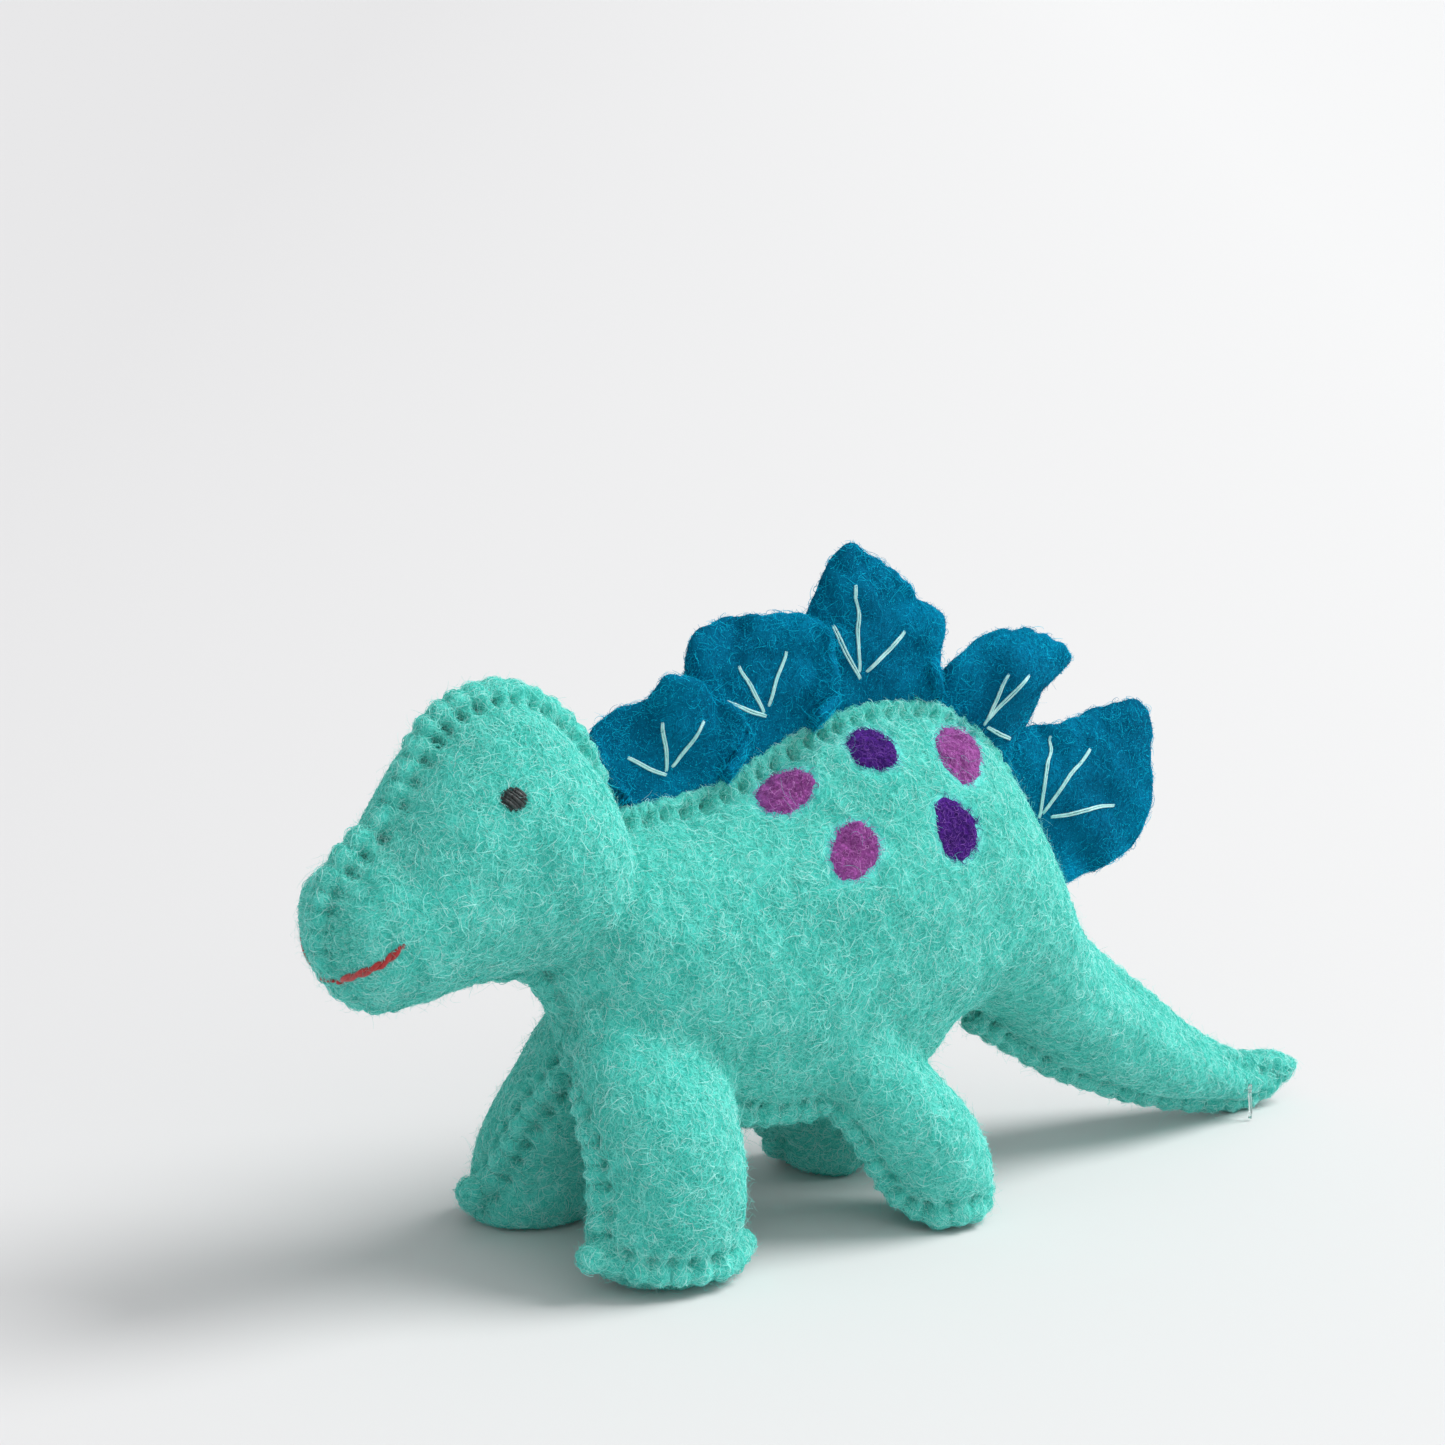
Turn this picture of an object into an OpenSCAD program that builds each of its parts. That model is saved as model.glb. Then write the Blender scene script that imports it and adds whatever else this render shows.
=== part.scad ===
// Hand-sewn stuffed dinosaur of wool felt: two side panels and an underbody gusset, stuffed with
// loose wads, with a scalloped crest sewn into the back seam. Head towards -X, tail towards +X.

/* [Felt] */
// Thickness of the body panels' felt
felt_t = 2; // [1.5:0.1:2.5]
// Thickness of the crest's felt
crest_t = 1.8; // [1.2:0.1:2.2]

/* [Seams] */
// Thickness of two felt edges sewn together
seam_w = 4.4; // [3.8:0.2:5]
// Diameter of the sewing thread
thread_d = 0.7; // [0.4:0.1:1]
// Spacing of the overcast stitches
stitch_pitch = 3.2; // [2.8:0.2:5]

/* [Body] */
// Greatest width of the stuffed body
body_w = 48; // [44:1:52]
// Greatest width of the stuffed head
head_w = 35; // [31:1:38]

/* [Legs] */
// Distance of a front foot's centre from the middle plane
front_foot_y = 20; // [19:0.5:21]
// Distance of a hind foot's centre from the middle plane
hind_foot_y = 18.5; // [18:0.5:20]
// Width of a front leg, from side to side
front_leg_w = 24; // [22:1:26]
// Width of a hind leg, from side to side
hind_leg_w = 22; // [20:1:24]

/* [Trim] */
// Diameter of an eye's knot of black thread
eye_d = 4.8; // [4:0.2:5.6]
// Width of the mouth's red thread
mouth_w = 1.2; // [0.8:0.1:1.6]
// How far the needle-felted spots stand proud
spot_h = 0.8; // [0.5:0.1:1.2]
// Diameter of the embroidery thread of the crest's veins
vein_d = 0.9; // [0.6:0.1:1.2]

/* [Hidden] */

TEAL = [0.31, 0.76, 0.70];
CREST_BLUE = [0.0, 0.42, 0.58];
VEIN_AQUA = [0.60, 0.86, 0.84];
MAGENTA = [0.64, 0.27, 0.62];
PURPLE = [0.27, 0.11, 0.47];
WOOL_WHITE = [0.93, 0.92, 0.88];

BIG = 300;          // larger than the whole toy
SIDES = 20;         // corners of a cross-section
LEG_SIDES = 16;     // corners of a leg's cross-section
UPPER_POWER = 1.75; // a section's upper half is pinched towards the back seam
LOWER_POWER = 2.4;  // and its lower half is fuller, because of the gusset
CENTRE_X = 20.5;    // the box's middle, measured from midway between the feet

// Outer edge of the middle seam, in X and Z, from the nape round the head, down the throat,
// through the body at the gusset, along the tail's underside and back over the tail and rump.
NAPE_SEAM = [[-24, 78], [-26, 85], [-29.6, 92.2], [-37.2, 99.2], [-45.7, 102.8], [-53.3, 102.1],
    [-60.9, 98.1], [-65.7, 91.2], [-70.5, 83.5], [-77, 78.5], [-81.5, 72.5], [-83, 66.3],
    [-82.2, 60.3], [-79, 55], [-74.5, 50.8], [-70, 49.2], [-65.9, 49.4], [-58.3, 51.2],
    [-48.7, 51], [-41.5, 49.2], [-39, 46], [-35.5, 42], [-31.8, 38]];
TAIL_UNDER_SEAM = [[44, 27.5], [56.4, 20.5], [67.6, 13.5], [79, 8], [93, 3], [104, 0.6], [115.5, 0.3]];
TAIL_TIP = [[121.5, 3.1], [125, 7], [121, 9.7]];
TAIL_OVER_SEAM = [[111.6, 11.4], [99.7, 17], [90.3, 24.4], [81, 32.4], [75.2, 39.1], [71, 45]];
BACK_SEAM = [[69.5, 50.6], [63.8, 62.5], [58.2, 72.4], [52.7, 80.4], [42.9, 87.1], [34.4, 89.1],
    [23.9, 89.5], [15.6, 88], [5.3, 84.1], [-7, 79.3], [-19, 78.2]];
MIDDLE_SEAM = concat(NAPE_SEAM, TAIL_UNDER_SEAM, TAIL_TIP, TAIL_OVER_SEAM, BACK_SEAM);

// Cross-sections of the stuffed head: X, top Z, bottom Z, half width as a share of the greatest
HEAD = [[-81, 67, 58.5, 0.22], [-79, 73, 55.5, 0.55], [-75, 76.5, 52.8, 0.76], [-70, 80.5, 51.8, 0.86],
    [-65, 87, 52, 0.92], [-60, 94, 53.2, 0.95], [-53, 98.8, 54, 0.98], [-45, 99.5, 54, 1],
    [-38, 95.5, 53, 0.97], [-32, 88.5, 54, 0.86], [-28, 82, 58, 0.66], [-25.5, 76, 64, 0.36]];
// Cross-sections of the stuffed body and tail, in the same order of values
BODY = [[-38, 62, 49, 0.26], [-35, 68, 44, 0.46], [-30, 73.5, 35, 0.67], [-22, 75.5, 27, 0.81],
    [-12, 75.8, 21.5, 0.9], [-2, 78, 19, 0.95], [8, 82, 18, 0.98], [20, 86.3, 18, 1],
    [33, 86.3, 20.5, 0.98], [43, 83.5, 24.5, 0.92], [52, 76.5, 25.5, 0.81], [60, 65, 21.5, 0.68],
    [68, 48.5, 16.5, 0.55], [76, 35.6, 12.5, 0.48], [88, 23.8, 7.6, 0.41], [100, 14.6, 4.4, 0.32],
    [109, 9.8, 3.2, 0.23], [115, 8, 3.6, 0.12]];
// Cross-sections of the legs: Z, X, share of the foot's distance from the middle plane, half
// length along X, share of the leg's width
FRONT_LEG = [[2.2, -26, 1, 11.6, 0.78], [6, -26, 1, 13.4, 0.95], [15, -26, 0.97, 13.8, 1],
    [27, -26, 0.89, 13.8, 1], [38, -26, 0.74, 13.2, 0.92], [46, -26, 0.6, 11, 0.7]];
HIND_LEG = [[2.2, 32.6, 1, 6.4, 0.72], [6, 31.6, 1, 8.7, 0.93], [15, 27.6, 0.98, 11.8, 1],
    [24, 25, 0.93, 13.4, 1], [34, 24.5, 0.82, 14, 0.92], [42, 24, 0.68, 12, 0.7]];
LEG_SEAM_H = 2.2; // how far a leg's stitched edge stands proud
LEG_SEAM_TOP = 3; // the leg's cross-section at which that edge ends

// The underbody gusset seen from above, from the side and from the front
GUSSET_PLAN = [[-33, 0], [-37, 9], [-44, 20], [-44, 18.8], [-15, 18.8], [-11, 13], [14, 13], [20, 17.8],
    [44, 17.8], [45, 10], [46, 0]];
GUSSET_SIDE = [[-50, -1], [-50, 36], [-33, 39], [-20, 30], [-11, 23], [16, 22], [30, 27], [46, 29], [46, -1]];
GUSSET_FRONT = [[0, 39.5], [10, 33], [18.8, 25], [18.8, -1], [0, -1]];

// Outlines of the crest's five plates, from head to tail, in X and Z
PLATES = [
    [[-22, 77], [-28, 88], [-25, 93], [-17, 95], [-14, 98], [-8, 97.8], [-4, 94], [1.5, 90.5], [3, 85], [0, 79]],
    [[-9, 80], [-9.5, 98], [-7, 105], [-2, 107], [15, 106], [20, 102], [22, 92], [20, 84]],
    [[16, 86], [15, 104], [20, 114.5], [24, 117], [36, 109], [43, 102.5], [43, 86]],
    [[43, 84], [43, 90], [51, 97], [60, 98], [67, 95.5], [71.5, 91.5], [65, 87.5], [60, 76]],
    [[58, 70], [59, 78], [72, 79.5], [86, 81.5], [88.5, 78], [89, 61], [84, 55], [72, 51.2], [67, 52]]
];
PLATE_ROUNDING = 2.5;
TAB_DEPTH = 6; // how far the crest reaches down between the seam's edges
// The crest's strip follows the back seam from its first plate to its last
TAB_LINE = [[-22, 78], [-7, 79.3], [5.3, 84.1], [15.6, 88], [23.9, 89.5], [34.4, 89.1], [42.9, 87.1],
    [52.7, 80.4], [58.2, 72.4], [63.8, 62.5], [69.5, 51.5]];
TAB_PROUD = 1.5;
// Each plate's veins: their common root, then their three tips
VEINS = [
    [[-13, 83.5], [-21.9, 87.2], [-13.9, 92], [-6.5, 91]],
    [[6.3, 89.5], [-1.8, 93.5], [0.6, 99], [10.2, 100.6]],
    [[25.7, 93], [20.1, 103.4], [24.9, 110], [35, 101]],
    [[53.5, 84.5], [57.5, 91.5], [61.5, 91], [58.5, 83.5]],
    [[66.5, 65], [68.5, 77.5], [76, 74.5], [82, 64]]
];
VEIN_NAMES = ["plate_1_veins", "plate_2_veins", "plate_3_veins", "plate_4_veins", "plate_5_veins"];

// Each spot: X, Z, half length, half height, turn in degrees, colour
SPOTS = [
    [5.2, 76.8, 6, 3.3, 0, MAGENTA], [22.4, 81.8, 5.2, 2.8, -18, PURPLE], [11.9, 68.5, 5, 5.3, 0, MAGENTA],
    [40, 79, 3.8, 4.2, 20, MAGENTA], [32.8, 68.9, 4.3, 5, 15, PURPLE]
];
SPOT_DEPTH = 30; // the patch is cut from the panel's outside over this depth

EYE_PLACE = [-52.4, 15.4, 86];
EYE_LEAN = -22;       // the cheek faces upwards by this angle at the eye
MOUTH_LINE = [[-84, 57.4], [-79.5, 58], [-76.5, 60], [-73, 64]];
NECK_X = -33;         // where the head's stuffing ends
TAIL_X = 62;          // where the tail's stuffing starts
LEG_TOP_Z = 24;       // where a leg's stuffing ends
LOWEST_STITCH_Z = 2;  // the floor presses the lower stitches into the felt
FASTENER_AT = [109, -6.5, 0.5];
FASTENER_H = 6.5;
FASTENER_D = 0.9;
FASTENER_STEM_Z = 3.6;
FASTENER_STEM_L = 1;

// A section's width at a share of its height, on a superellipse
function bulge(turn, power) = sign(turn) * pow(abs(turn), 2 / power);

function section_ring(s, width, grow) = [for (i = [0:SIDES - 1])
    let (a = 360 * i / SIDES, power = cos(a) > 0 ? UPPER_POWER : LOWER_POWER,
         middle = (s[1] + s[2]) / 2, half = (s[1] - s[2]) / 2 + grow)
    [s[0], (s[3] * width / 2 + grow) * bulge(sin(a), power), middle + half * bulge(cos(a), power)]];

function leg_ring(s, foot_y, width, grow, side) = [for (i = [0:LEG_SIDES - 1])
    let (a = 360 * i / LEG_SIDES)
    [s[1] + (s[3] + grow) * cos(a), side * (s[2] * foot_y + (s[4] * width / 2 + grow) * sin(a)), s[0]]];

// A closed skin through rings of equally many points
module skin(rings) {
    n = len(rings[0]);
    last = len(rings) - 1;
    sides = [for (r = [0:last - 1], i = [0:n - 1])
        [r * n + i, r * n + (i + 1) % n, (r + 1) * n + (i + 1) % n, (r + 1) * n + i]];
    low = [[for (i = [n - 1:-1:0]) i]];
    high = [[for (i = [0:n - 1]) last * n + i]];
    polyhedron([for (ring = rings, p = ring) p], concat(sides, low, high));
}

// The ends move out by the growth too, so that a negative growth leaves an even wall
function moved_ends(sections, axis, grow) = [for (i = [0:len(sections) - 1])
    let (s = sections[i], step = i == 0 ? -grow : i == len(sections) - 1 ? grow : 0)
    [for (k = [0:len(s) - 1]) k == axis ? s[k] + step : s[k]]];

module stuffed_head(grow) {
    skin([for (s = moved_ends(HEAD, 0, grow)) section_ring(s, head_w, grow)]);
}

module stuffed_body(grow) {
    skin([for (s = moved_ends(BODY, 0, grow)) section_ring(s, body_w, grow)]);
}

module stuffed_leg(sections, foot_y, width, grow, side) {
    rings = [for (s = moved_ends(sections, 0, grow)) leg_ring(s, foot_y, width, grow, side)];
    skin(side > 0 ? [for (i = [len(rings) - 1:-1:0]) rings[i]] : rings);
}

module stuffed_form(grow) {
    stuffed_head(grow);
    stuffed_body(grow);
    for (side = [-1, 1]) {
        stuffed_leg(FRONT_LEG, front_foot_y, front_leg_w, grow, side);
        stuffed_leg(HIND_LEG, hind_foot_y, hind_leg_w, grow, side);
    }
}

// A plate standing in the XZ plane, as thick as t, with its middle at y
module upright(t, y = 0) {
    translate([0, y + t / 2, 0]) rotate([90, 0, 0]) linear_extrude(t) children();
}

// A leg's seam: down its front, along the sole and up its back
function leg_seam(sections) = concat(
    [for (i = [LEG_SEAM_TOP:-1:1]) [sections[i][1] - sections[i][3] - LEG_SEAM_H, sections[i][0]]],
    [[sections[0][1] - sections[0][3] + 1, 0], [sections[0][1] + sections[0][3] - 1, 0]],
    [for (i = [1:LEG_SEAM_TOP]) [sections[i][1] + sections[i][3] + LEG_SEAM_H, sections[i][0]]]);

module seam_edges() {
    upright(seam_w) polygon(MIDDLE_SEAM);
    for (side = [-1, 1]) {
        upright(seam_w, side * (front_foot_y - 1)) polygon(leg_seam(FRONT_LEG));
        upright(seam_w, side * (hind_foot_y - 0.7)) polygon(leg_seam(HIND_LEG));
    }
}

module sewn_skin() {
    difference() {
        union() {
            stuffed_form(0);
            seam_edges();
        }
        stuffed_form(-felt_t);
        crest_blank();
    }
}

// The space that the gusset's felt takes up, on both sides of the middle plane
module gusset_space() {
    intersection() {
        translate([0, 0, -1]) linear_extrude(BIG) both_sides() polygon(GUSSET_PLAN);
        upright(BIG) polygon(GUSSET_SIDE);
        translate([-BIG / 2, 0, 0]) rotate([90, 0, 90]) linear_extrude(BIG)
            both_ways() polygon(GUSSET_FRONT);
    }
}

module both_sides() {
    children();
    mirror([0, 1]) children();
}

module both_ways() {
    children();
    mirror([1, 0]) children();
}

module half_space(side) {
    translate([-BIG / 2, side > 0 ? 0 : -BIG, -BIG / 2]) cube(BIG);
}

module side_panel(side) {
    color(TEAL) difference() {
        intersection() {
            sewn_skin();
            half_space(side);
        }
        gusset_space();
    }
}

module belly_gusset() {
    color(TEAL) intersection() {
        sewn_skin();
        gusset_space();
    }
}

module tab_outline() {
    polygon(concat([for (p = TAB_LINE) p + [0.7, 1] * TAB_PROUD],
        [for (i = [len(TAB_LINE) - 1:-1:0]) TAB_LINE[i] - [0.4, 0.7] * TAB_DEPTH]));
}

module crest_blank() {
    upright(crest_t) offset(PLATE_ROUNDING, $fn = 24) offset(-PLATE_ROUNDING) {
        for (plate = PLATES) polygon(plate);
        tab_outline();
    }
}

module crest_strip() {
    color(CREST_BLUE) difference() {
        crest_blank();
        stuffed_form(-felt_t);
    }
}

// A straight length of round thread between two points in the plane at y
module strand(from, to, y, d) {
    run = to - from;
    translate([from[0], y, from[1]]) rotate([0, 90 - atan2(run[1], run[0]), 0])
        cylinder(h = norm(run), d = d, $fn = 24);
}

module plate_veins(number) {
    root = VEINS[number - 1][0];
    color(VEIN_AQUA) for (tip = [1:3], side = [-1, 1]) {
        run = VEINS[number - 1][tip] - root;
        strand(root + 1.2 * run / norm(run) * tip, root + run, side * (crest_t + vein_d) / 2, vein_d);
    }
}

module spot_patch(number, side) {
    s = SPOTS[number - 1];
    color(s[5]) difference() {
        intersection() {
            stuffed_body(spot_h);
            upright(SPOT_DEPTH, side * (SPOT_DEPTH / 2 + 2)) translate([s[0], s[1]]) rotate(s[4])
                scale([s[2], s[3]]) circle(1, $fn = 24);
        }
        stuffed_body(0);
    }
}

// A dome, with its flat base on the felt
module thread_eye(side) {
    color("black") translate([EYE_PLACE[0], side * EYE_PLACE[1], EYE_PLACE[2]])
        rotate([-side * EYE_LEAN, 0, 0]) difference() {
            sphere(d = eye_d, $fn = 32);
            translate([-eye_d, side > 0 ? -2 * eye_d : 0, -eye_d]) cube(2 * eye_d);
        }
}

module mouth_thread() {
    color("firebrick") difference() {
        intersection() {
            stuffed_head(mouth_w / 2);
            upright(BIG) for (i = [1:len(MOUTH_LINE) - 1]) hull() {
                translate(MOUTH_LINE[i - 1]) circle(d = mouth_w, $fn = 16);
                translate(MOUTH_LINE[i]) circle(d = mouth_w, $fn = 16);
            }
        }
        stuffed_head(0);
        upright(seam_w) polygon(MIDDLE_SEAM);
    }
}

// Lengths along a line of points, and the point and direction at a length
function run_to(line, i) = i == 0 ? 0 : run_to(line, i - 1) + norm(line[i] - line[i - 1]);
function piece_at(line, s, i = 1) = i == len(line) - 1 || run_to(line, i) >= s ? i : piece_at(line, s, i + 1);
function place_at(line, s) = let (i = piece_at(line, s), d = line[i] - line[i - 1], n = norm(d))
    concat(line[i - 1] + d * (s - run_to(line, i - 1)) / n, [atan2(d[1], d[0])]);

// Thread passing over a seam's edge once every pitch. out is 1 where the toy lies to the right of
// the line's direction and -1 where it lies to the left.
module overcast(line, y, out) {
    for (s = [stitch_pitch:stitch_pitch:run_to(line, len(line) - 1) - stitch_pitch / 2]) {
        p = place_at(line, s);
        lift = out * thread_d / 2;
        if (p[1] > LOWEST_STITCH_Z)
            translate([p[0] - lift * sin(p[2]), y + seam_w / 2 - 0.2, p[1] + lift * cos(p[2])])
                rotate([90, 0, 0]) cylinder(h = seam_w - 0.4, d = thread_d, $fn = 24);
    }
}

module head_seam_thread() {
    color(TEAL) overcast(NAPE_SEAM, 0, -1);
}

module back_seam_thread() {
    color(TEAL) difference() {
        overcast(BACK_SEAM, 0, -1);
        translate([-BIG / 2, -crest_t / 2, 0]) cube([BIG, crest_t, BIG]);
    }
}

module tail_seam_thread() {
    color(TEAL) {
        overcast(TAIL_UNDER_SEAM, 0, -1);
        overcast(concat(TAIL_TIP, TAIL_OVER_SEAM), 0, -1);
    }
}

module gusset_thread(side) {
    color(TEAL) {
        overcast(leg_seam(FRONT_LEG), side * (front_foot_y - 1), -1);
        overcast(leg_seam(HIND_LEG), side * (hind_foot_y - 0.7), -1);
    }
}

module before_x(x) {
    translate([x - BIG, -BIG / 2, -BIG / 2]) cube(BIG);
}

module below_z(z) {
    translate([-BIG / 2, -BIG / 2, z - BIG]) cube(BIG);
}

module head_stuffing() {
    color(WOOL_WHITE) intersection() {
        union() {
            stuffed_head(-felt_t);
            stuffed_body(-felt_t);
        }
        before_x(NECK_X);
    }
}

module body_stuffing() {
    color(WOOL_WHITE) difference() {
        stuffed_form(-felt_t);
        head_stuffing();
        translate([TAIL_X, -BIG / 2, -BIG / 2]) cube(BIG);
        for (side = [-1, 1]) leg_space(side);
    }
}

module tail_stuffing() {
    color(WOOL_WHITE) difference() {
        stuffed_body(-felt_t);
        before_x(TAIL_X);
    }
}

// The two legs of one side lie within this block
module leg_space(side) {
    intersection() {
        half_space(side);
        below_z(LEG_TOP_Z);
        difference() {
            translate([-BIG / 2, -BIG / 2, -BIG / 2]) cube(BIG);
            translate([-BIG / 2, -7, -BIG / 2]) cube([BIG, 14, BIG]);
            stuffed_body(-felt_t);
        }
    }
}

module leg_stuffing(sections, foot_y, width, side) {
    color(WOOL_WHITE) intersection() {
        stuffed_leg(sections, foot_y, width, -felt_t, side);
        leg_space(side);
    }
}

module tag_fastener() {
    color([0.9, 0.95, 0.95, 0.5]) translate(FASTENER_AT) {
        cylinder(h = FASTENER_H, d = FASTENER_D, $fn = 24);
        translate([0, 0, FASTENER_STEM_Z]) rotate([-90, 0, 0])
            cylinder(h = FASTENER_STEM_L, d = FASTENER_D * 0.6, $fn = 24);
    }
}

module placed() {
    translate([-CENTRE_X, 0, 0]) children();
}

placed() side_panel(-1);  // left_side_panel
placed() side_panel(1);  // right_side_panel
placed() belly_gusset();
placed() crest_strip();
for (i = [1:5]) placed() plate_veins(i);
for (i = [1:5]) placed() spot_patch(i, -1);
for (i = [1:5]) placed() spot_patch(i, 1);
placed() thread_eye(-1);  // left_eye
placed() thread_eye(1);  // right_eye
placed() mouth_thread();
placed() head_seam_thread();
placed() back_seam_thread();
placed() tail_seam_thread();
placed() gusset_thread(-1);  // left_gusset_thread
placed() gusset_thread(1);  // right_gusset_thread
placed() head_stuffing();
placed() body_stuffing();
placed() tail_stuffing();
placed() leg_stuffing(FRONT_LEG, front_foot_y, front_leg_w, -1);  // front_left_leg_stuffing
placed() leg_stuffing(FRONT_LEG, front_foot_y, front_leg_w, 1);  // front_right_leg_stuffing
placed() leg_stuffing(HIND_LEG, hind_foot_y, hind_leg_w, -1);  // hind_left_leg_stuffing
placed() leg_stuffing(HIND_LEG, hind_foot_y, hind_leg_w, 1);  // hind_right_leg_stuffing
placed() tag_fastener();
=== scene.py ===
# A hand-sewn stuffed dinosaur of wool felt, drawn in the frame of its CAD model.
# Lengths are in millimetres until a mesh is made, measured from the floor midway between the feet.
import math

import bpy
import numpy as np
from mathutils import Matrix, Vector
from mathutils.kdtree import KDTree


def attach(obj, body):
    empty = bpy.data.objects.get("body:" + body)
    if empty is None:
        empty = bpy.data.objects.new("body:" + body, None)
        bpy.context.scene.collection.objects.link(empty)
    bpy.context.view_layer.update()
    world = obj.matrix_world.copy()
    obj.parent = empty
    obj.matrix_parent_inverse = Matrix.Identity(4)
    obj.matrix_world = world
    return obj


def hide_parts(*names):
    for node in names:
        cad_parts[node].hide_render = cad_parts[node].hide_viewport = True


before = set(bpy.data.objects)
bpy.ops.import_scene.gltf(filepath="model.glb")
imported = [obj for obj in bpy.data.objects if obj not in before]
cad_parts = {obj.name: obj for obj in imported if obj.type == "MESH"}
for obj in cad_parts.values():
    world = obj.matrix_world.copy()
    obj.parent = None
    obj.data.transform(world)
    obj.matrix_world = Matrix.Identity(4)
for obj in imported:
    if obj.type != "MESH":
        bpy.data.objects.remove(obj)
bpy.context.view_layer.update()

CENTRE_X = 20.5  # the CAD frame's origin, measured from midway between the feet
MM = 0.001

# ---- The CAD model's numbers

NAPE_SEAM = [
    (-24, 78), (-26, 85), (-29.8, 92), (-37.2, 99), (-45.5, 102.5), (-53, 101.8), (-60.6, 97.9),
    (-65.4, 91.1), (-70.2, 83.4), (-76.7, 78.3), (-81.3, 72.4), (-82.8, 65.9), (-82, 59.7), (-78.8, 54.2),
    (-74.2, 50.2), (-69.5, 48.8),
]
THROAT_SEAM = [(-65.6, 49), (-58.1, 50.9), (-48.7, 50.8), (-41.5, 49.2), (-39, 46), (-35.5, 42), (-31.8, 38)]
TAIL_UNDER_SEAM = [(44, 29), (56.4, 21), (67.6, 13.8), (79, 8.5), (93, 3.4), (104, 0.8), (115.5, 0.3)]
TAIL_OVER_SEAM = [
    (121.5, 3.1), (125, 7), (121, 9.8), (111.6, 11.7), (99.7, 18.5), (90.3, 26.5), (81, 34.1), (75.2, 39.3),
    (70.8, 44.2),
]
BACK_SEAM = [
    (68.8, 50.6), (63.8, 62.5), (58.2, 72.4), (52.7, 80.4), (42.9, 87.1), (34.4, 89.1), (23.9, 89.5),
    (15.6, 88), (5.3, 84.1), (-7, 79.3), (-19, 78.2), (-24, 78),
]

# Cross-sections: X, top Z, bottom Z, half width
HEAD = [
    (-79.9, 66.4, 58.6, 5), (-78.2, 71.8, 55.6, 10.2), (-74.4, 75.4, 52.8, 13.7), (-69.2, 79.6, 51.8, 15.1),
    (-64.7, 86.7, 51.6, 16.1), (-59.7, 93.7, 52.8, 16.7), (-52.8, 98.5, 53.6, 17.2), (-45, 99.2, 53.7, 17.5),
    (-38, 95.2, 52.9, 17), (-32, 88.3, 54, 15.1), (-28, 82, 58, 11.6), (-25.5, 76, 64, 6.3),
]
BODY = [
    (-38, 62, 49, 6.2), (-35, 68, 44, 11), (-30, 73.5, 35, 16.1), (-22, 75.5, 27, 19.4),
    (-12, 75.8, 21.5, 21.6), (-2, 78, 19, 22.8), (8, 82, 18, 23.5), (20, 86.3, 18, 24), (30, 87, 25, 23.7),
    (36, 86, 29.7, 23.2), (43, 83.5, 32, 22.1), (52, 76.5, 29, 19.4), (60, 64.5, 22.8, 16.3),
    (68, 47, 17.3, 13.2), (76, 36.3, 13.2, 11.5), (88, 25.8, 8.2, 9.8), (100, 16.1, 4.8, 7.7),
    (109, 10.3, 3.4, 5.5), (115, 8.1, 3.7, 2.9),
]
UPPER_POWER = 1.75
LOWER_POWER = 2.4

# Legs: Z, X, distance from the middle plane, half length, half width
NEAR_FRONT_LEG = [
    (0.2, -24.5, 18.6, 7.5, 5.5), (1.2, -25, 18.6, 9.8, 7.8), (3.5, -26.2, 18.7, 12.4, 10),
    (8, -27, 19, 12.9, 11.4), (15, -26.4, 19, 13.2, 11.8), (25, -26.3, 18, 13.2, 11.5),
    (32, -26.3, 16, 13, 10.8), (38, -26.3, 12.5, 12, 9), (46, -25.5, 9, 10, 6),
]
FAR_FRONT_LEG = [
    (0.2, -28, 21.5, 8, 6), (1.2, -27.8, 21.5, 10.3, 8.4), (3.5, -27.3, 21.4, 12.1, 10.4),
    (8, -26.6, 21, 12.6, 11.2), (17, -25.2, 18.7, 12.4, 11.6), (27, -22.9, 15.6, 10.2, 11),
    (38, -19.8, 12.4, 7.4, 9.5), (46, -17, 9, 6, 7),
]
NEAR_HIND_LEG = [
    (0.2, 29.6, 18.5, 3, 5), (1.2, 29.6, 18.5, 5, 7), (3.5, 29.4, 18.5, 7.2, 8.8), (6.2, 29, 18.5, 8.9, 9.5),
    (10.6, 27.6, 18.4, 10.4, 10.3), (15.3, 25.4, 18.2, 11.3, 10.5), (19.3, 22.9, 17.9, 11.3, 10.5),
    (24.2, 19.4, 17, 10.8, 10.3), (30, 15.5, 15.8, 10, 9.8), (42, 13, 12.6, 9, 8),
]
FAR_HIND_LEG = [
    (0.2, 29, 16, 3.5, 6), (1.2, 28.8, 16, 5.5, 8), (3.5, 28.4, 16, 7.4, 9.5), (6.2, 28, 16.3, 8.8, 10),
    (10.6, 26.6, 16.6, 10.3, 10.3), (15.3, 25, 17, 11.3, 10.5), (19.3, 23, 17, 11.6, 10.5),
    (24.2, 20.2, 16.5, 11.5, 10.3), (30, 17, 15.5, 11, 9.8), (42, 14, 12.6, 9, 8),
]

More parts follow.
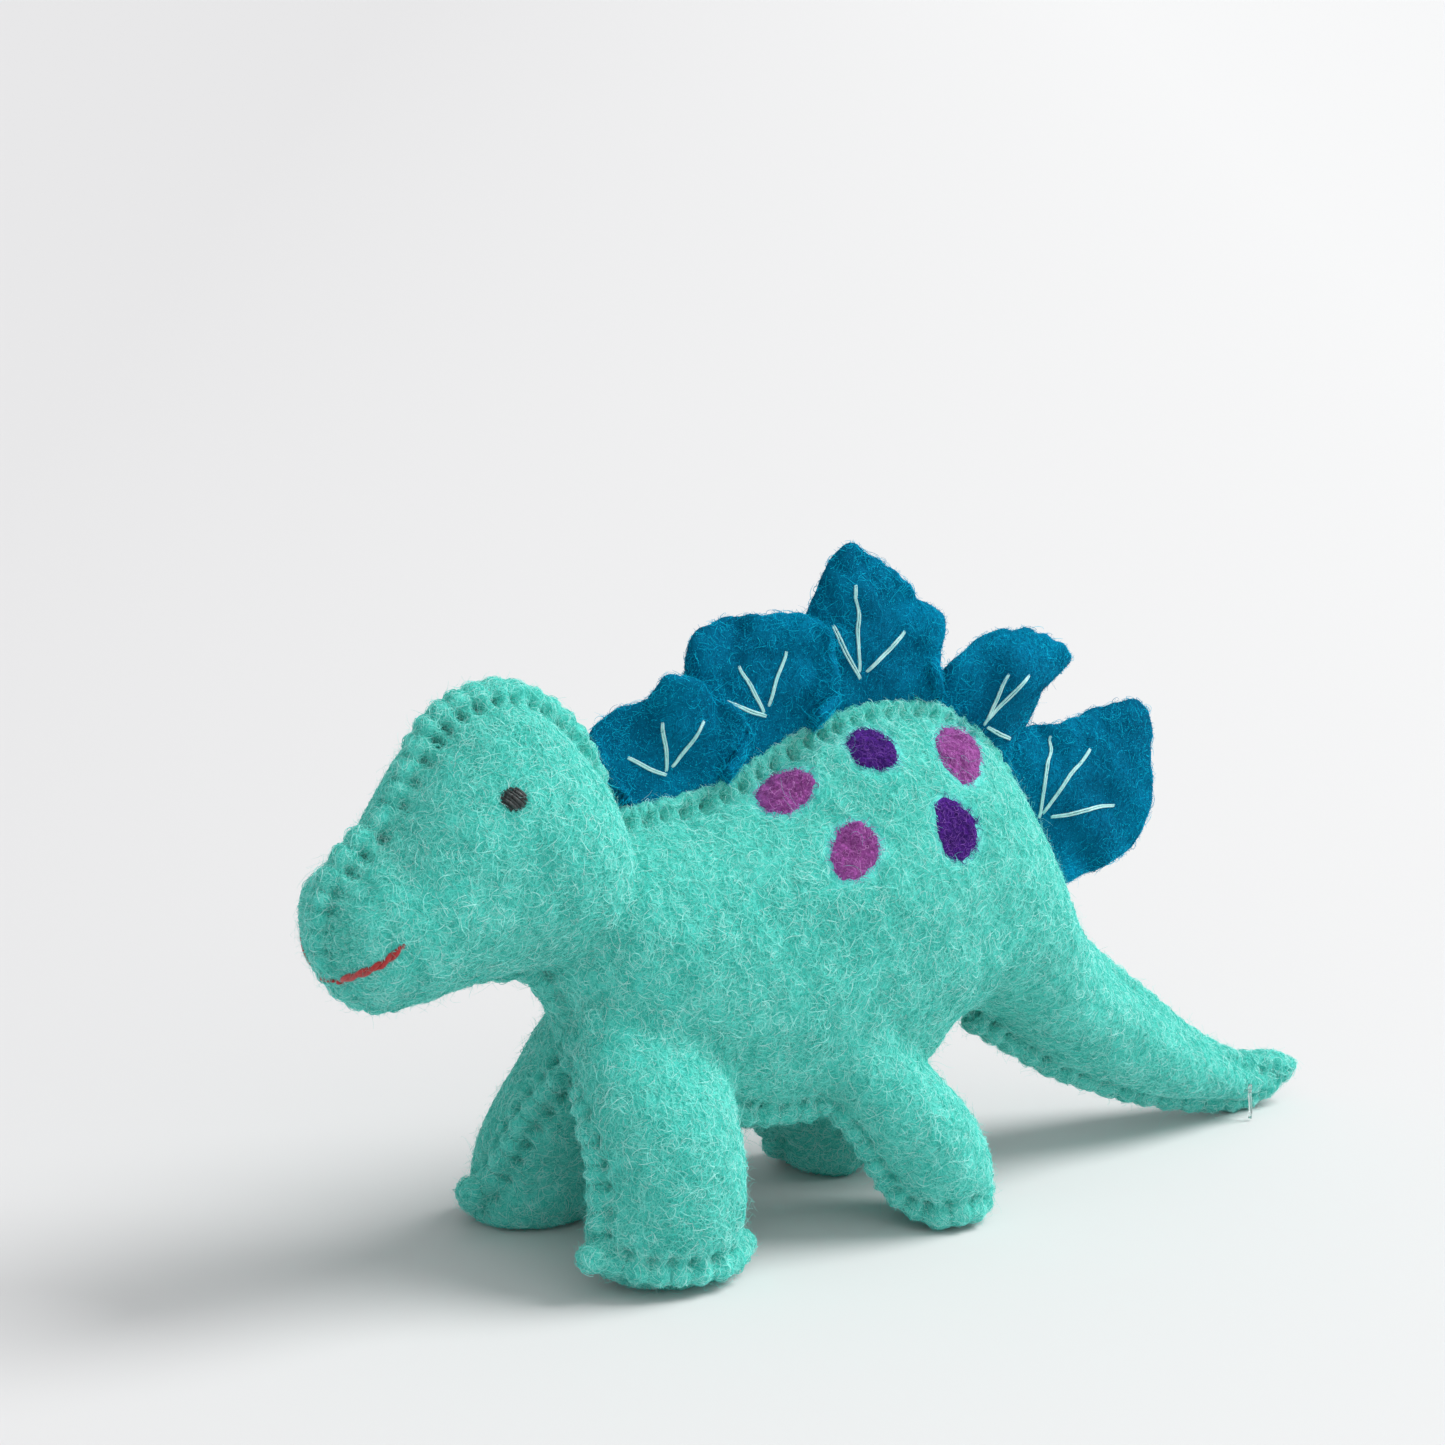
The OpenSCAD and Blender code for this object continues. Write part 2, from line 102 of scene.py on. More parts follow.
# The seam between a side panel and the gusset, on the left: chest, front leg, belly, hind leg, tail
LEFT_GUSSET_SEAM = [
    (-32.5, -0.5, 38.5), (-35.5, -6, 34), (-38.2, -12, 30), (-39.8, -16.5, 24), (-40.7, -18.5, 16),
    (-41.9, -19.8, 10.5), (-42.7, -21.6, 7.6), (-39, -24.6, 5.8), (-33.5, -27.4, 4.5), (-26.2, -28.6, 4),
    (-19.2, -27.2, 3.8), (-14.2, -24, 3.4), (-13, -20.5, 4.8), (-13, -18.5, 10), (-12.4, -17.5, 16),
    (-9.5, -16.5, 20.5), (-5.7, -16, 21.7), (2.4, -16, 21.5), (8.5, -17, 20.5), (13.6, -18, 15.6),
    (17, -18.5, 11), (20.2, -19, 6.6), (23.6, -22, 4), (29.4, -26.2, 3.4), (33.2, -23.5, 4.2),
    (36.2, -19.2, 7.6), (37.6, -18, 11), (36.2, -16.5, 16), (33.5, -12.5, 23), (37, -6, 27), (46, -1, 29.5),
]
# and on the right, where the front leg stands splayed
RIGHT_GUSSET_SEAM = [
    (-31, 0.5, 38.5), (-31, 5.5, 32.5), (-34, 11, 24), (-37.8, 15.3, 14.6), (-40.4, 19.3, 8),
    (-39.4, 22.5, 5), (-37.2, 27.2, 3.9), (-32.8, 30.2, 3.7), (-27, 31.4, 3.7), (-20.7, 30, 3.7),
    (-16, 25.8, 4), (-14.4, 21, 5.5), (-13.2, 18, 10), (-12.5, 16.5, 16), (-9.5, 16, 20.5), (-5.7, 16, 21.7),
    (2.4, 16, 21.5), (8.5, 16.5, 20.5), (13.6, 17, 15.6), (16.6, 17, 11), (19.2, 17.4, 6.6), (23, 21, 4),
    (28.6, 25, 3.4), (34, 22.4, 3.8), (36.6, 18, 6.6), (36.8, 16.6, 11), (35.8, 15.5, 16), (33.5, 12.5, 23),
    (37, 6, 27), (46, 1, 29.5),
]

# Where the gusset's felt lies, seen from above, from the side and from the front
GUSSET_PLAN = [
    (-33, 0), (-37, 9), (-44, 20), (-44, 18.8), (-15, 18.8), (-11, 13), (4, 13), (9, 17.8), (44, 17.8),
    (45, 10), (46, 0),
]
GUSSET_SIDE = [(-50, -1), (-50, 36), (-33, 39), (-20, 30), (-11, 23), (16, 22), (30, 27), (46, 29), (46, -1)]
GUSSET_FRONT_Y = [0, 10, 18.8, 60]
GUSSET_FRONT_Z = [39.5, 33, 25, 25]

# ---- Small tools


def unit(v):
    return v / np.maximum(np.linalg.norm(v, axis=-1, keepdims=True), 1e-9)


def hermite(knots, values, x):
    """A smooth curve through the knots; values may have several columns."""
    knots = np.asarray(knots, float)
    values = np.asarray(values, float)
    flat = values.ndim == 1
    if flat:
        values = values[:, None]
    slope = np.gradient(values, knots, axis=0)
    x = np.clip(x, knots[0], knots[-1])
    i = np.clip(np.searchsorted(knots, x) - 1, 0, len(knots) - 2)
    w = (knots[i + 1] - knots[i])[:, None]
    t = (x - knots[i])[:, None] / w
    out = ((2 * t**3 - 3 * t**2 + 1) * values[i] + (t**3 - 2 * t**2 + t) * w * slope[i]
           + (3 * t**2 - 2 * t**3) * values[i + 1] + (t**3 - t**2) * w * slope[i + 1])
    return out[:, 0] if flat else out


def run_of(points):
    """Lengths along a line of points, starting with 0."""
    return np.concatenate([[0], np.cumsum(np.linalg.norm(np.diff(points, axis=0), axis=1))])


def smooth_line(points, step):
    points = np.asarray(points, float)
    run = run_of(points)
    return hermite(run, points, np.linspace(0, run[-1], max(2, int(run[-1] / step) + 1)))


def point_at(run, line, at):
    """The place a given length along a line."""
    return np.array([np.interp(at, run, column) for column in line.T])


def grid_points(shape):
    """Every whole-number place in a box of the given size, one to a row."""
    return np.stack(np.meshgrid(*[np.arange(n) for n in shape], indexing="ij"), -1).reshape(-1, len(shape))


def smooth_min(a, b, k):
    h = np.clip(0.5 + 0.5 * (b - a) / k, 0, 1)
    return b * (1 - h) + a * h - k * h * (1 - h)


def capped(f, past):
    """A field that goes on round the end of its form; past is how far beyond that end a place is."""
    return np.where(past == 0, f, np.hypot(np.maximum(f, 0), past))


def waves(points, size, seed, count=6):
    """Gentle unevenness between about -1 and 1, with swells of the given size."""
    rng = np.random.default_rng(seed)
    out = 0
    for _ in range(count):
        way = unit(rng.normal(size=points.shape[-1])) * rng.uniform(0.7, 1.4)
        out = out + np.sin(points @ (way * 2 * math.pi / size) + rng.uniform(0, 6.3))
    return out / math.sqrt(count * 1.5)


# ---- The stuffed form, as a function of place that is negative inside


class Trunk:
    """Head or body: cross-sections along X."""

    def __init__(self, sections):
        s = np.array(sections, float)
        self.x = np.linspace(s[0, 0], s[-1, 0], 900)
        self.top, self.bottom, self.half = hermite(s[:, 0], s[:, 1:], self.x).T

    def __call__(self, p):
        x = np.clip(p[:, 0], self.x[0], self.x[-1])
        top = np.interp(x, self.x, self.top)
        bottom = np.interp(x, self.x, self.bottom)
        half_y = np.interp(x, self.x, self.half)
        half_z = (top - bottom) / 2
        v = (p[:, 2] - (top + bottom) / 2) / half_z
        power = LOWER_POWER + (UPPER_POWER - LOWER_POWER) * (0.5 + 0.5 * np.tanh(v * 4))
        ring = (np.abs(p[:, 1] / half_y) ** power + np.abs(v) ** power + 1e-9) ** (1 / power)
        f = (ring - 1) * np.minimum(half_y, half_z)
        return capped(f, p[:, 0] - x)


class Leg:
    """Cross-sections along Z."""

    def __init__(self, sections, side):
        s = np.array(sections, float)
        s[:, 2] *= side
        self.z = np.linspace(s[0, 0], s[-1, 0], 300)
        self.columns = hermite(s[:, 0], s[:, 1:], self.z).T

    def __call__(self, p):
        z = np.clip(p[:, 2], self.z[0], self.z[-1])
        x0, y0, a, b = (np.interp(z, self.z, c) for c in self.columns)
        ring = np.hypot((p[:, 0] - x0) / a, (p[:, 1] - y0) / b)
        return capped((ring - 1) * np.minimum(a, b), p[:, 2] - z)


head_form = Trunk(HEAD)
body_form = Trunk(BODY)
legs = [Leg(NEAR_FRONT_LEG, -1), Leg(FAR_FRONT_LEG, 1), Leg(NEAR_HIND_LEG, -1), Leg(FAR_HIND_LEG, 1)]
HEAD_BLEND = 2.2  # how widely each joins the body
LEG_BLEND = [3.2, 4, 1.8, 1.8]
LEGS_BELOW = 56


def stuffed(p):
    f = smooth_min(head_form(p), body_form(p), HEAD_BLEND)
    low = np.flatnonzero(p[:, 2] < LEGS_BELOW)
    if len(low):
        for leg, blend in zip(legs, LEG_BLEND):
            f[low] = smooth_min(f[low], leg(p[low]), blend)
    return f + 0.35 * waves(p, 24, 1) + 0.2 * waves(p, 8, 2) + 0.06 * waves(p, 4, 3)


# ---- The middle seam: its ridge and stitches, worked out once on a map in the XZ plane

# Each stretch: points, stitch spacing, dip of the edge, depth of the pits, their distance from the
# edge, their half length across the seam, slant
STRETCHES = [
    (NAPE_SEAM, 4.1, 0.8, 2.6, 4.8, 1.15, 0.3),
    (THROAT_SEAM, 4.2, 0.5, 1.5, 4.6, 1.0, 0.1),
    (TAIL_UNDER_SEAM, 4.9, 0.7, 1.8, 3.9, 1.0, 0.2),
    (TAIL_OVER_SEAM, 4.4, 0.5, 0.9, 4.2, 1.0, 0.2),
    (BACK_SEAM, 3.5, 0.6, 1.9, 4.5, 1.7, 0.7),
]
MAP_STEP = 0.4
MAP_X = np.arange(-92, 134, MAP_STEP)
MAP_Z = np.arange(-8, 112, MAP_STEP)
REACH = 10  # how far from the edge the map says where the edge is
NO_EDGE = 6.0
PIT_HALF = 0.85  # along the seam


def stitch_places(length, spacing, rng):
    gaps = spacing * (1 + 0.16 * rng.uniform(-1, 1, int(length / spacing * 1.5) + 4))
    places = np.cumsum(gaps)
    return np.concatenate([[0], places[places < length - spacing / 2], [length]])


def bead_at(run, stitches):
    """How full a seam's edge stands at each length along it: 0 at a stitch, 1 between two."""
    phase = np.interp(run, stitches, np.arange(len(stitches)))
    return np.abs(np.sin(math.pi * phase)) ** 0.8


def nearest_stitch(run, stitches):
    """The number of the stitch nearest to each length along a seam, and how far off it is."""
    numbers = np.arange(len(stitches))
    number = np.round(np.interp(run, stitches, numbers))
    return number, np.abs(run - np.interp(number, numbers, stitches))


def seam_line():
    """The whole middle seam with each point's length run, and for each stretch its stitches."""
    rng = np.random.default_rng(7)
    points, figures, stitches = [], [], []
    start = 0.0
    for i, (corners, spacing, *figure) in enumerate(STRETCHES):
        if i + 1 < len(STRETCHES):
            after = STRETCHES[i + 1][0][0]
            gap = math.dist(corners[-1], after)
            corners = corners + [after] if gap < 30 else corners
        line = smooth_line(corners, 1)
        run = run_of(line)
        stitches.append(start + stitch_places(run[-1], spacing, rng))
        points.append(line)
        figures.append(np.column_stack([start + run, np.full((len(line), 5), figure)]))
        start += run[-1] + 1
    return points, figures, np.concatenate(stitches)


SEAM_POINTS, SEAM_FIGURES, STITCHES = seam_line()


def seam_maps():
    edge = np.full((len(MAP_X), len(MAP_Z)), NO_EDGE)
    nearest = np.full_like(edge, REACH)
    run = np.zeros_like(edge)
    figures = np.zeros(edge.shape + (5,))
    for line, known in zip(SEAM_POINTS, SEAM_FIGURES):
        for a, b, ka, kb in zip(line[:-1], line[1:], known[:-1], known[1:]):
            x0, x1 = np.searchsorted(MAP_X, [min(a[0], b[0]) - REACH, max(a[0], b[0]) + REACH])
            z0, z1 = np.searchsorted(MAP_Z, [min(a[1], b[1]) - REACH, max(a[1], b[1]) + REACH])
            gx, gz = np.meshgrid(MAP_X[x0:x1], MAP_Z[z0:z1], indexing="ij")
            way = b - a
            t = np.clip(((gx - a[0]) * way[0] + (gz - a[1]) * way[1]) / (way @ way), 0, 1)
            dx, dz = gx - a[0] - t * way[0], gz - a[1] - t * way[1]
            distance = np.hypot(dx, dz)
            closer = distance < nearest[x0:x1, z0:z1]
            # the toy lies to the left of each line's direction
            outside = np.sign(dx * way[1] - dz * way[0])
            nearest[x0:x1, z0:z1][closer] = distance[closer]
            edge[x0:x1, z0:z1][closer] = (distance * outside)[closer]
            run[x0:x1, z0:z1][closer] = (ka[0] + t * (kb[0] - ka[0]))[closer]
            figures[x0:x1, z0:z1][closer] = ka[1:]
    dip, pit, below, across, slant = np.moveaxis(figures, -1, 0)
    bead = bead_at(run, STITCHES)
    number, away = nearest_stitch(run + slant * (edge + below), STITCHES)
    # the pits differ from stitch to stitch
    strength = 0.75 + 0.5 * np.abs(np.sin(number * 12.9898))
    pits = np.where(nearest < REACH, pit * strength * np.exp(-(away / PIT_HALF) ** 2), 0)
    return np.stack([edge, dip * (1 - bead), pits, below, across], -1)


SEAM_MAPS = seam_maps()


def on_seam_maps(p):
    fx = np.clip((p[:, 0] - MAP_X[0]) / MAP_STEP, 0, len(MAP_X) - 1.001)
    fz = np.clip((p[:, 2] - MAP_Z[0]) / MAP_STEP, 0, len(MAP_Z) - 1.001)
    i, k = fx.astype(int), fz.astype(int)
    tx, tz = (fx - i)[:, None], (fz - k)[:, None]
    return ((SEAM_MAPS[i, k] * (1 - tx) + SEAM_MAPS[i + 1, k] * tx) * (1 - tz)
            + (SEAM_MAPS[i, k + 1] * (1 - tx) + SEAM_MAPS[i + 1, k + 1] * tx) * tz).T


EDGE_ROUND = 1.7
EDGE_HALF = 2.2
EDGE_INSET = 0.45  # the fuzz takes up the rest
EDGE_BLEND = 1.6


def with_middle_seam(f, p):
    edge, dip, pits, below, across = on_seam_maps(p)
    q1 = edge + EDGE_INSET + EDGE_ROUND + dip
    q2 = np.abs(p[:, 1]) - (EDGE_HALF - EDGE_ROUND) + 0.5 * dip
    slab = np.hypot(np.maximum(q1, 0), np.maximum(q2, 0)) + np.minimum(np.maximum(q1, q2), 0) - EDGE_ROUND
    off = (np.hypot(edge, p[:, 1]) - below) / np.maximum(across, 0.3)
    return smooth_min(f, slab, EDGE_BLEND) + pits * np.exp(-off ** 2)


# ---- The gusset's seams: a raised stitched edge along a curve on the surface


def field_slope(field, p, h=0.25):
    base = field(p)
    slope = np.stack([(field(p + h * e) - base) / h for e in np.eye(3)], -1)
    return base, slope


def settle(field, p, rounds=3, keep_y=None):
    """Moves points onto the surface where the field is 0."""
    p = p.copy()
    for _ in range(rounds):
        value, slope = field_slope(field, p)
        if keep_y is not None:
            slope[keep_y, 1] = 0
        p -= slope * (value / np.maximum((slope ** 2).sum(-1), 0.05))[:, None]
    return p


class GussetSeam:
    """A seam that knows which part of its line is near to any place."""

    SPACING = 3.9  # of the stitches
    BELOW = 2.8  # the pits' distance from the edge
    PIT = 1.7
    RIDGE, BEAD = 1.25, 0.55  # the ridge's radius between stitches, and what each adds
    BLEND = 1.5
    REACH = 7
    CELL = 3.0

    def __init__(self, corners, seed):
        line = smooth_line(corners, 0.8)
        self.line = settle(stuffed, line, 4)
        self.run = run_of(self.line)
        self.stitches = stitch_places(self.run[-1], self.SPACING, np.random.default_rng(seed))
        self.low = self.line.min(0) - self.REACH
        self.shape = np.ceil((self.line.max(0) + self.REACH - self.low) / self.CELL).astype(int) + 1
        centres = self.low + (grid_points(self.shape) + 0.5) * self.CELL
        self.nearest = np.zeros(len(centres), int)
        for i in range(0, len(centres), 20000):
            part = centres[i:i + 20000]
            d = ((part ** 2).sum(1)[:, None] - 2 * part @ self.line.T + (self.line ** 2).sum(1)[None])
            self.nearest[i:i + 20000] = d.argmin(1)

    def apply(self, f, p):
        cell = np.floor((p - self.low) / self.CELL).astype(int)
        held = np.flatnonzero(((cell >= 0) & (cell < self.shape)).all(1))
        if not len(held):
            return f
        c = cell[held]
        q = p[held]
        first = self.nearest[(c[:, 0] * self.shape[1] + c[:, 1]) * self.shape[2] + c[:, 2]]
        best = np.full(len(held), 1e9)
        run = np.zeros(len(held))
        for shift in range(-4, 4):
            i = np.clip(first + shift, 0, len(self.line) - 2)
            a, way = self.line[i], self.line[i + 1] - self.line[i]
            t = np.clip(((q - a) * way).sum(1) / np.maximum((way ** 2).sum(1), 1e-6), 0, 1)
            d = np.linalg.norm(q - a - t[:, None] * way, axis=1)
            closer = d < best
            best[closer] = d[closer]
            run[closer] = (self.run[i] + t * (self.run[i + 1] - self.run[i]))[closer]
        near = best < self.REACH
        held, best, run = held[near], best[near], run[near]
        number, away = nearest_stitch(run, self.stitches)
        strength = 0.6 + 0.8 * np.abs(np.sin(number * 78.233))
        ridge = best - (self.RIDGE + self.BEAD * bead_at(run, self.stitches))
        pits = self.PIT * strength * np.exp(-(away / 0.95) ** 2 - ((best - self.BELOW) / 1.05) ** 2)
        f[held] = smooth_min(f[held], ridge, self.BLEND) + pits
        return f


gusset_seams = [GussetSeam(LEFT_GUSSET_SEAM, 11), GussetSeam(RIGHT_GUSSET_SEAM, 12)]
# Corners of felt that stick out where a leg's seam turns under the foot: X, Y, Z, radius
CORNERS = [(-12.8, -21, 4.2, 2.1), (-41.6, 20, 7.4, 2.4), (-42.9, -21.5, 7.7, 2.2)]
CORNER_BLEND = 2.2
SOLE_Z = 0.15
SOLE_BLEND = 0.8


def skin(p):
    """The sewn toy's outside."""
    f = with_middle_seam(stuffed(p), p)
    for seam in gusset_seams:
        f = seam.apply(f, p)
    for x, y, z, r in CORNERS:
        near = np.flatnonzero((np.abs(p - (x, y, z)) < 9).all(1))
        if len(near):
            blob = np.linalg.norm(p[near] - (x, y, z), axis=1) - r
            f[near] = smooth_min(f[near], blob, CORNER_BLEND)
    return -smooth_min(-f, p[:, 2] - SOLE_Z, SOLE_BLEND)


# ---- Meshing the form


CUBE = [(x, y, z) for x in (0, 1) for y in (0, 1) for z in (0, 1)]


class Net:
    """The field on a grid, known finely near the surface, and the mesh of its zero level."""

    BLOCK = 4

    def __init__(self, field, low, high, step, band):
        self.step = step
        shape = [int(math.ceil((h - l) / step / self.BLOCK)) * self.BLOCK for l, h in zip(low, high)]
        # a layer of cells is centred on the middle plane
        self.origin = np.array([low[0], (math.floor(low[1] / step) + 0.5) * step, low[2]])
        blocks = [n // self.BLOCK for n in shape]
        centres = self.origin + (grid_points(blocks) + 0.5) * self.BLOCK * step - step / 2
        rough = field(centres).reshape(blocks)
        value = rough
        for axis in range(3):
            value = np.repeat(value, self.BLOCK, axis)
        near = np.argwhere(np.abs(rough) < band)
        fine = (near[:, None, :] * self.BLOCK + grid_points([self.BLOCK] * 3)[None]).reshape(-1, 3)
        value = value.astype(np.float32)
        for i in range(0, len(fine), 400000):
            part = fine[i:i + 400000]
            value[part[:, 0], part[:, 1], part[:, 2]] = field(self.origin + part * step)
        self.value = value

    def at(self, p):
        g = (p - self.origin) / self.step
        g = np.clip(g, 0, np.array(self.value.shape) - 1.001)
        i = g.astype(int)
        t = g - i
        out = 0
        for dx, dy, dz in CUBE:
            w = (np.abs(1 - dx - t[:, 0]) * np.abs(1 - dy - t[:, 1]) * np.abs(1 - dz - t[:, 2]))
            out = out + w * self.value[i[:, 0] + dx, i[:, 1] + dy, i[:, 2] + dz]
        return out

    def slope_at(self, p, h=0.6):
        return np.stack([self.at(p + h * e) - self.at(p - h * e) for e in np.eye(3)], -1) / (2 * h)

    def mesh(self):
        v = self.value
        inside = v < 0
        n = np.array(v.shape) - 1
        total = sum(inside[dx:dx + n[0], dy:dy + n[1], dz:dz + n[2]].astype(np.int8) for dx, dy, dz in CUBE)
        cells = np.argwhere((total > 0) & (total < 8))
        index = np.full(tuple(n), -1, np.int32)
        index[tuple(cells.T)] = np.arange(len(cells))
        where = np.zeros((len(cells), 3))
        hits = np.zeros(len(cells))
        for a in CUBE:
            for b in CUBE:
                if sum(b) - sum(a) != 1 or any(x > y for x, y in zip(a, b)):
                    continue
                va = v[tuple((cells + a).T)].astype(float)
                vb = v[tuple((cells + b).T)].astype(float)
                cut = (va < 0) != (vb < 0)
                t = np.where(cut, va / np.where(va == vb, 1, va - vb), 0)[:, None]
                where += np.where(cut[:, None], np.array(a) + t * (np.array(b) - a), 0)
                hits += cut
        points = self.origin + (cells + where / hits[:, None]) * self.step
        quads = []
        for axis in range(3):
            one, two = [d for d in range(3) if d != axis]
            step = np.zeros(3, int)
            step[axis] = 1
            a = inside[tuple(slice(0, s - e) for s, e in zip(v.shape, step))]
            b = inside[tuple(slice(e, None) for e in step)]
            edges = np.argwhere(a != b)
            starts_inside = a[tuple(edges.T)]
            keep = ((edges > 0) & (edges < n)).all(1)
            edges, starts_inside = edges[keep], starts_inside[keep]
            e1, e2 = np.zeros(3, int), np.zeros(3, int)
            e1[one], e2[two] = 1, 1
            ring = np.stack([index[tuple((edges - o).T)] for o in (0 * e1, e1, e1 + e2, e2)], 1)
            turn = starts_inside if axis != 1 else ~starts_inside
            quads.append(np.where(turn[:, None], ring, ring[:, ::-1]))
        quads = np.concatenate(quads)
        quads = quads[(quads >= 0).all(1)]
        centred = np.abs(points[:, 1]) < self.step * 0.501
        middle = centred & (np.abs(self.origin[1] + (cells[:, 1] + 0.5) * self.step) < 1e-6)
        points[middle, 1] = 0
        return points, quads, middle


LOWEST = (-88.0, -37.0, -1.2)
HIGHEST = (130.0, 37.0, 107.0)
NET_STEP = 0.6
NET_BAND = 5.5  # how near the surface the field is worked out finely
net = Net(skin, LOWEST, HIGHEST, NET_STEP, NET_BAND)
outside_points, outside_quads, middle = net.mesh()
outside_points = settle(skin, outside_points, 1, middle)
outside_points[middle, 1] = 0


def quad_normals(points, quads):
    a, b, c, d = (points[quads[:, i]] for i in range(4))
    normal = np.cross(c - a, d - b)
    out = np.zeros_like(points)
    for i in range(4):
        for k in range(3):
            out[:, k] += np.bincount(quads[:, i], normal[:, k], len(points))
    return unit(out)


outside_normals = quad_normals(outside_points, outside_quads)

# ---- Materials


class Shader:
    """A principled material under construction."""

    def __init__(self, name, roughness, **values):
        self.material = bpy.data.materials.new(name)
        self.material.use_nodes = True
        self.nodes = self.material.node_tree.nodes
        self.links = self.material.node_tree.links
        self.main = self.nodes["Principled BSDF"]
        self.main.inputs["Roughness"].default_value = roughness
        for key, value in values.items():
            self.main.inputs[key.replace("_", " ")].default_value = value
        self.place = None

    def where(self):
        if self.place is None:
            self.place = self.nodes.new("ShaderNodeTexCoord").outputs["Object"]
        return self.place

    def noise(self, scale, detail=4, rough=0.6, distortion=0.0, stretch=None):
        place = self.where()
        if stretch:
            mapping = self.nodes.new("ShaderNodeMapping")
            mapping.inputs["Scale"].default_value = stretch
            self.links.new(place, mapping.inputs["Vector"])
            place = mapping.outputs["Vector"]
        node = self.nodes.new("ShaderNodeTexNoise")
        for key, value in {"Scale": scale, "Detail": detail, "Roughness": rough,
                           "Distortion": distortion}.items():
            node.inputs[key].default_value = value
        self.links.new(place, node.inputs["Vector"])
        return node.outputs["Fac"]

    def ramp(self, source, stops):
        node = self.nodes.new("ShaderNodeValToRGB")
        ramp = node.color_ramp
        while len(ramp.elements) < len(stops):
            ramp.elements.new(0.5)
        for element, (at, colour) in zip(ramp.elements, stops):
            element.position = at
            element.color = (*colour, 1)
        self.links.new(source, node.inputs["Fac"])
        return node.outputs["Color"]

    def math(self, kind, a, b):
        node = self.nodes.new("ShaderNodeMath")
        node.operation = kind
        for socket, value in zip(node.inputs, (a, b)):
            if isinstance(value, bpy.types.NodeSocket):
                self.links.new(value, socket)
            else:
                socket.default_value = value
        return node.outputs[0]

    def colour(self, source):
        self.links.new(source, self.main.inputs["Base Color"])

    def bump(self, height, distance, strength=1.0):
        node = self.nodes.new("ShaderNodeBump")
        node.inputs["Distance"].default_value = distance
        node.inputs["Strength"].default_value = strength
        self.links.new(height, node.inputs["Height"])
        self.links.new(node.outputs["Normal"], self.main.inputs["Normal"])


def felt(name, dark, middle_tone, light, sheen, gloss=0.15, cloud=0.25):
    """Matted wool: fine crossing fibres over a mottled ground."""
    s = Shader(name, 0.95, Sheen_Weight=sheen, Sheen_Roughness=0.6, Specular_IOR_Level=gloss)
    fine = s.noise(1400, 5, 0.7, 1.2)
    strands = s.noise(420, 3, 0.6, 3.0, (1.0, 1.0, 2.6))
    crossing = s.noise(420, 3, 0.6, 3.0, (2.6, 1.4, 1.0))
    patches = s.noise(55, 3, 0.6)
    fibres = s.math("MULTIPLY", s.math("ADD", strands, crossing), 0.5)
    height = s.math("ADD", s.math("MULTIPLY", fibres, 0.6), s.math("MULTIPLY", fine, 0.4))
    shade = s.math("ADD", s.math("MULTIPLY", height, 1 - cloud), s.math("MULTIPLY", patches, cloud))
    s.colour(s.ramp(shade, [(0.36, dark), (0.5, middle_tone), (0.64, light)]))
    s.bump(height, 0.0009, 0.8)
    return s.material


def thread(name, colour, other, roughness=0.55, twist=900, sheen=0.3):
    """Plied sewing thread."""
    s = Shader(name, roughness, Sheen_Weight=sheen, Specular_IOR_Level=0.35)
    plies = s.noise(twist, 3, 0.6, 1.5, (1.0, 1.6, 0.6))
    s.colour(s.ramp(plies, [(0.35, colour), (0.65, other)]))
    s.bump(plies, 0.0002, 0.8)
    return s.material


def strand_material(name, tones, sheen=0.4, glow=0.25, gloss=0.25):
    """Single fibres: each has its own tone, and lets some light through."""
    s = Shader(name, 0.75, Specular_IOR_Level=gloss, Sheen_Weight=sheen)
    tone = s.ramp(s.nodes.new("ShaderNodeHairInfo").outputs["Random"], tones)
    s.colour(tone)
    through = s.nodes.new("ShaderNodeBsdfTranslucent")
    both = s.nodes.new("ShaderNodeMixShader")
    both.inputs["Fac"].default_value = glow
    for source, socket in ((tone, through.inputs["Color"]), (s.main.outputs[0], both.inputs[1]),
                           (through.outputs[0], both.inputs[2]),
                           (both.outputs[0], s.nodes["Material Output"].inputs["Surface"])):
        s.links.new(source, socket)
    return s.material


TEAL_DARK = (0.022, 0.46, 0.40)
TEAL = (0.10, 0.78, 0.69)
TEAL_LIGHT = (0.29, 0.92, 0.85)
BLUE_DARK = (0.0003, 0.072, 0.15)
BLUE = (0.0006, 0.14, 0.26)
BLUE_LIGHT = (0.001, 0.26, 0.46)

teal_felt = felt("teal wool felt", TEAL_DARK, TEAL, TEAL_LIGHT, sheen=0.35)
blue_felt = felt("blue wool felt", BLUE_DARK, BLUE, BLUE_LIGHT, sheen=0.0, gloss=0.03, cloud=0.5)
magenta_wool = felt("magenta wool", (0.16, 0.026, 0.16), (0.36, 0.075, 0.36), (0.58, 0.16, 0.58),
                    sheen=0.1, gloss=0.08)
purple_wool = felt("purple wool", (0.03, 0.006, 0.11), (0.08, 0.017, 0.24), (0.16, 0.05, 0.42),
                   sheen=0.0, gloss=0.05)
teal_thread = thread("teal thread", (0.03, 0.36, 0.31), (0.07, 0.52, 0.44))
aqua_thread = thread("aqua embroidery thread", (0.30, 0.68, 0.68), (0.52, 0.82, 0.80), roughness=0.4)
black_thread = thread("black thread", (0.003, 0.004, 0.004), (0.045, 0.06, 0.06),
                      roughness=0.3, twist=1500, sheen=0.1)
red_thread = thread("red thread", (0.30, 0.012, 0.012), (0.52, 0.03, 0.03), roughness=0.45)
white_wool = felt("white stuffing wool", (0.45, 0.44, 0.41), (0.68, 0.67, 0.63), (0.85, 0.84, 0.8), sheen=0.2)

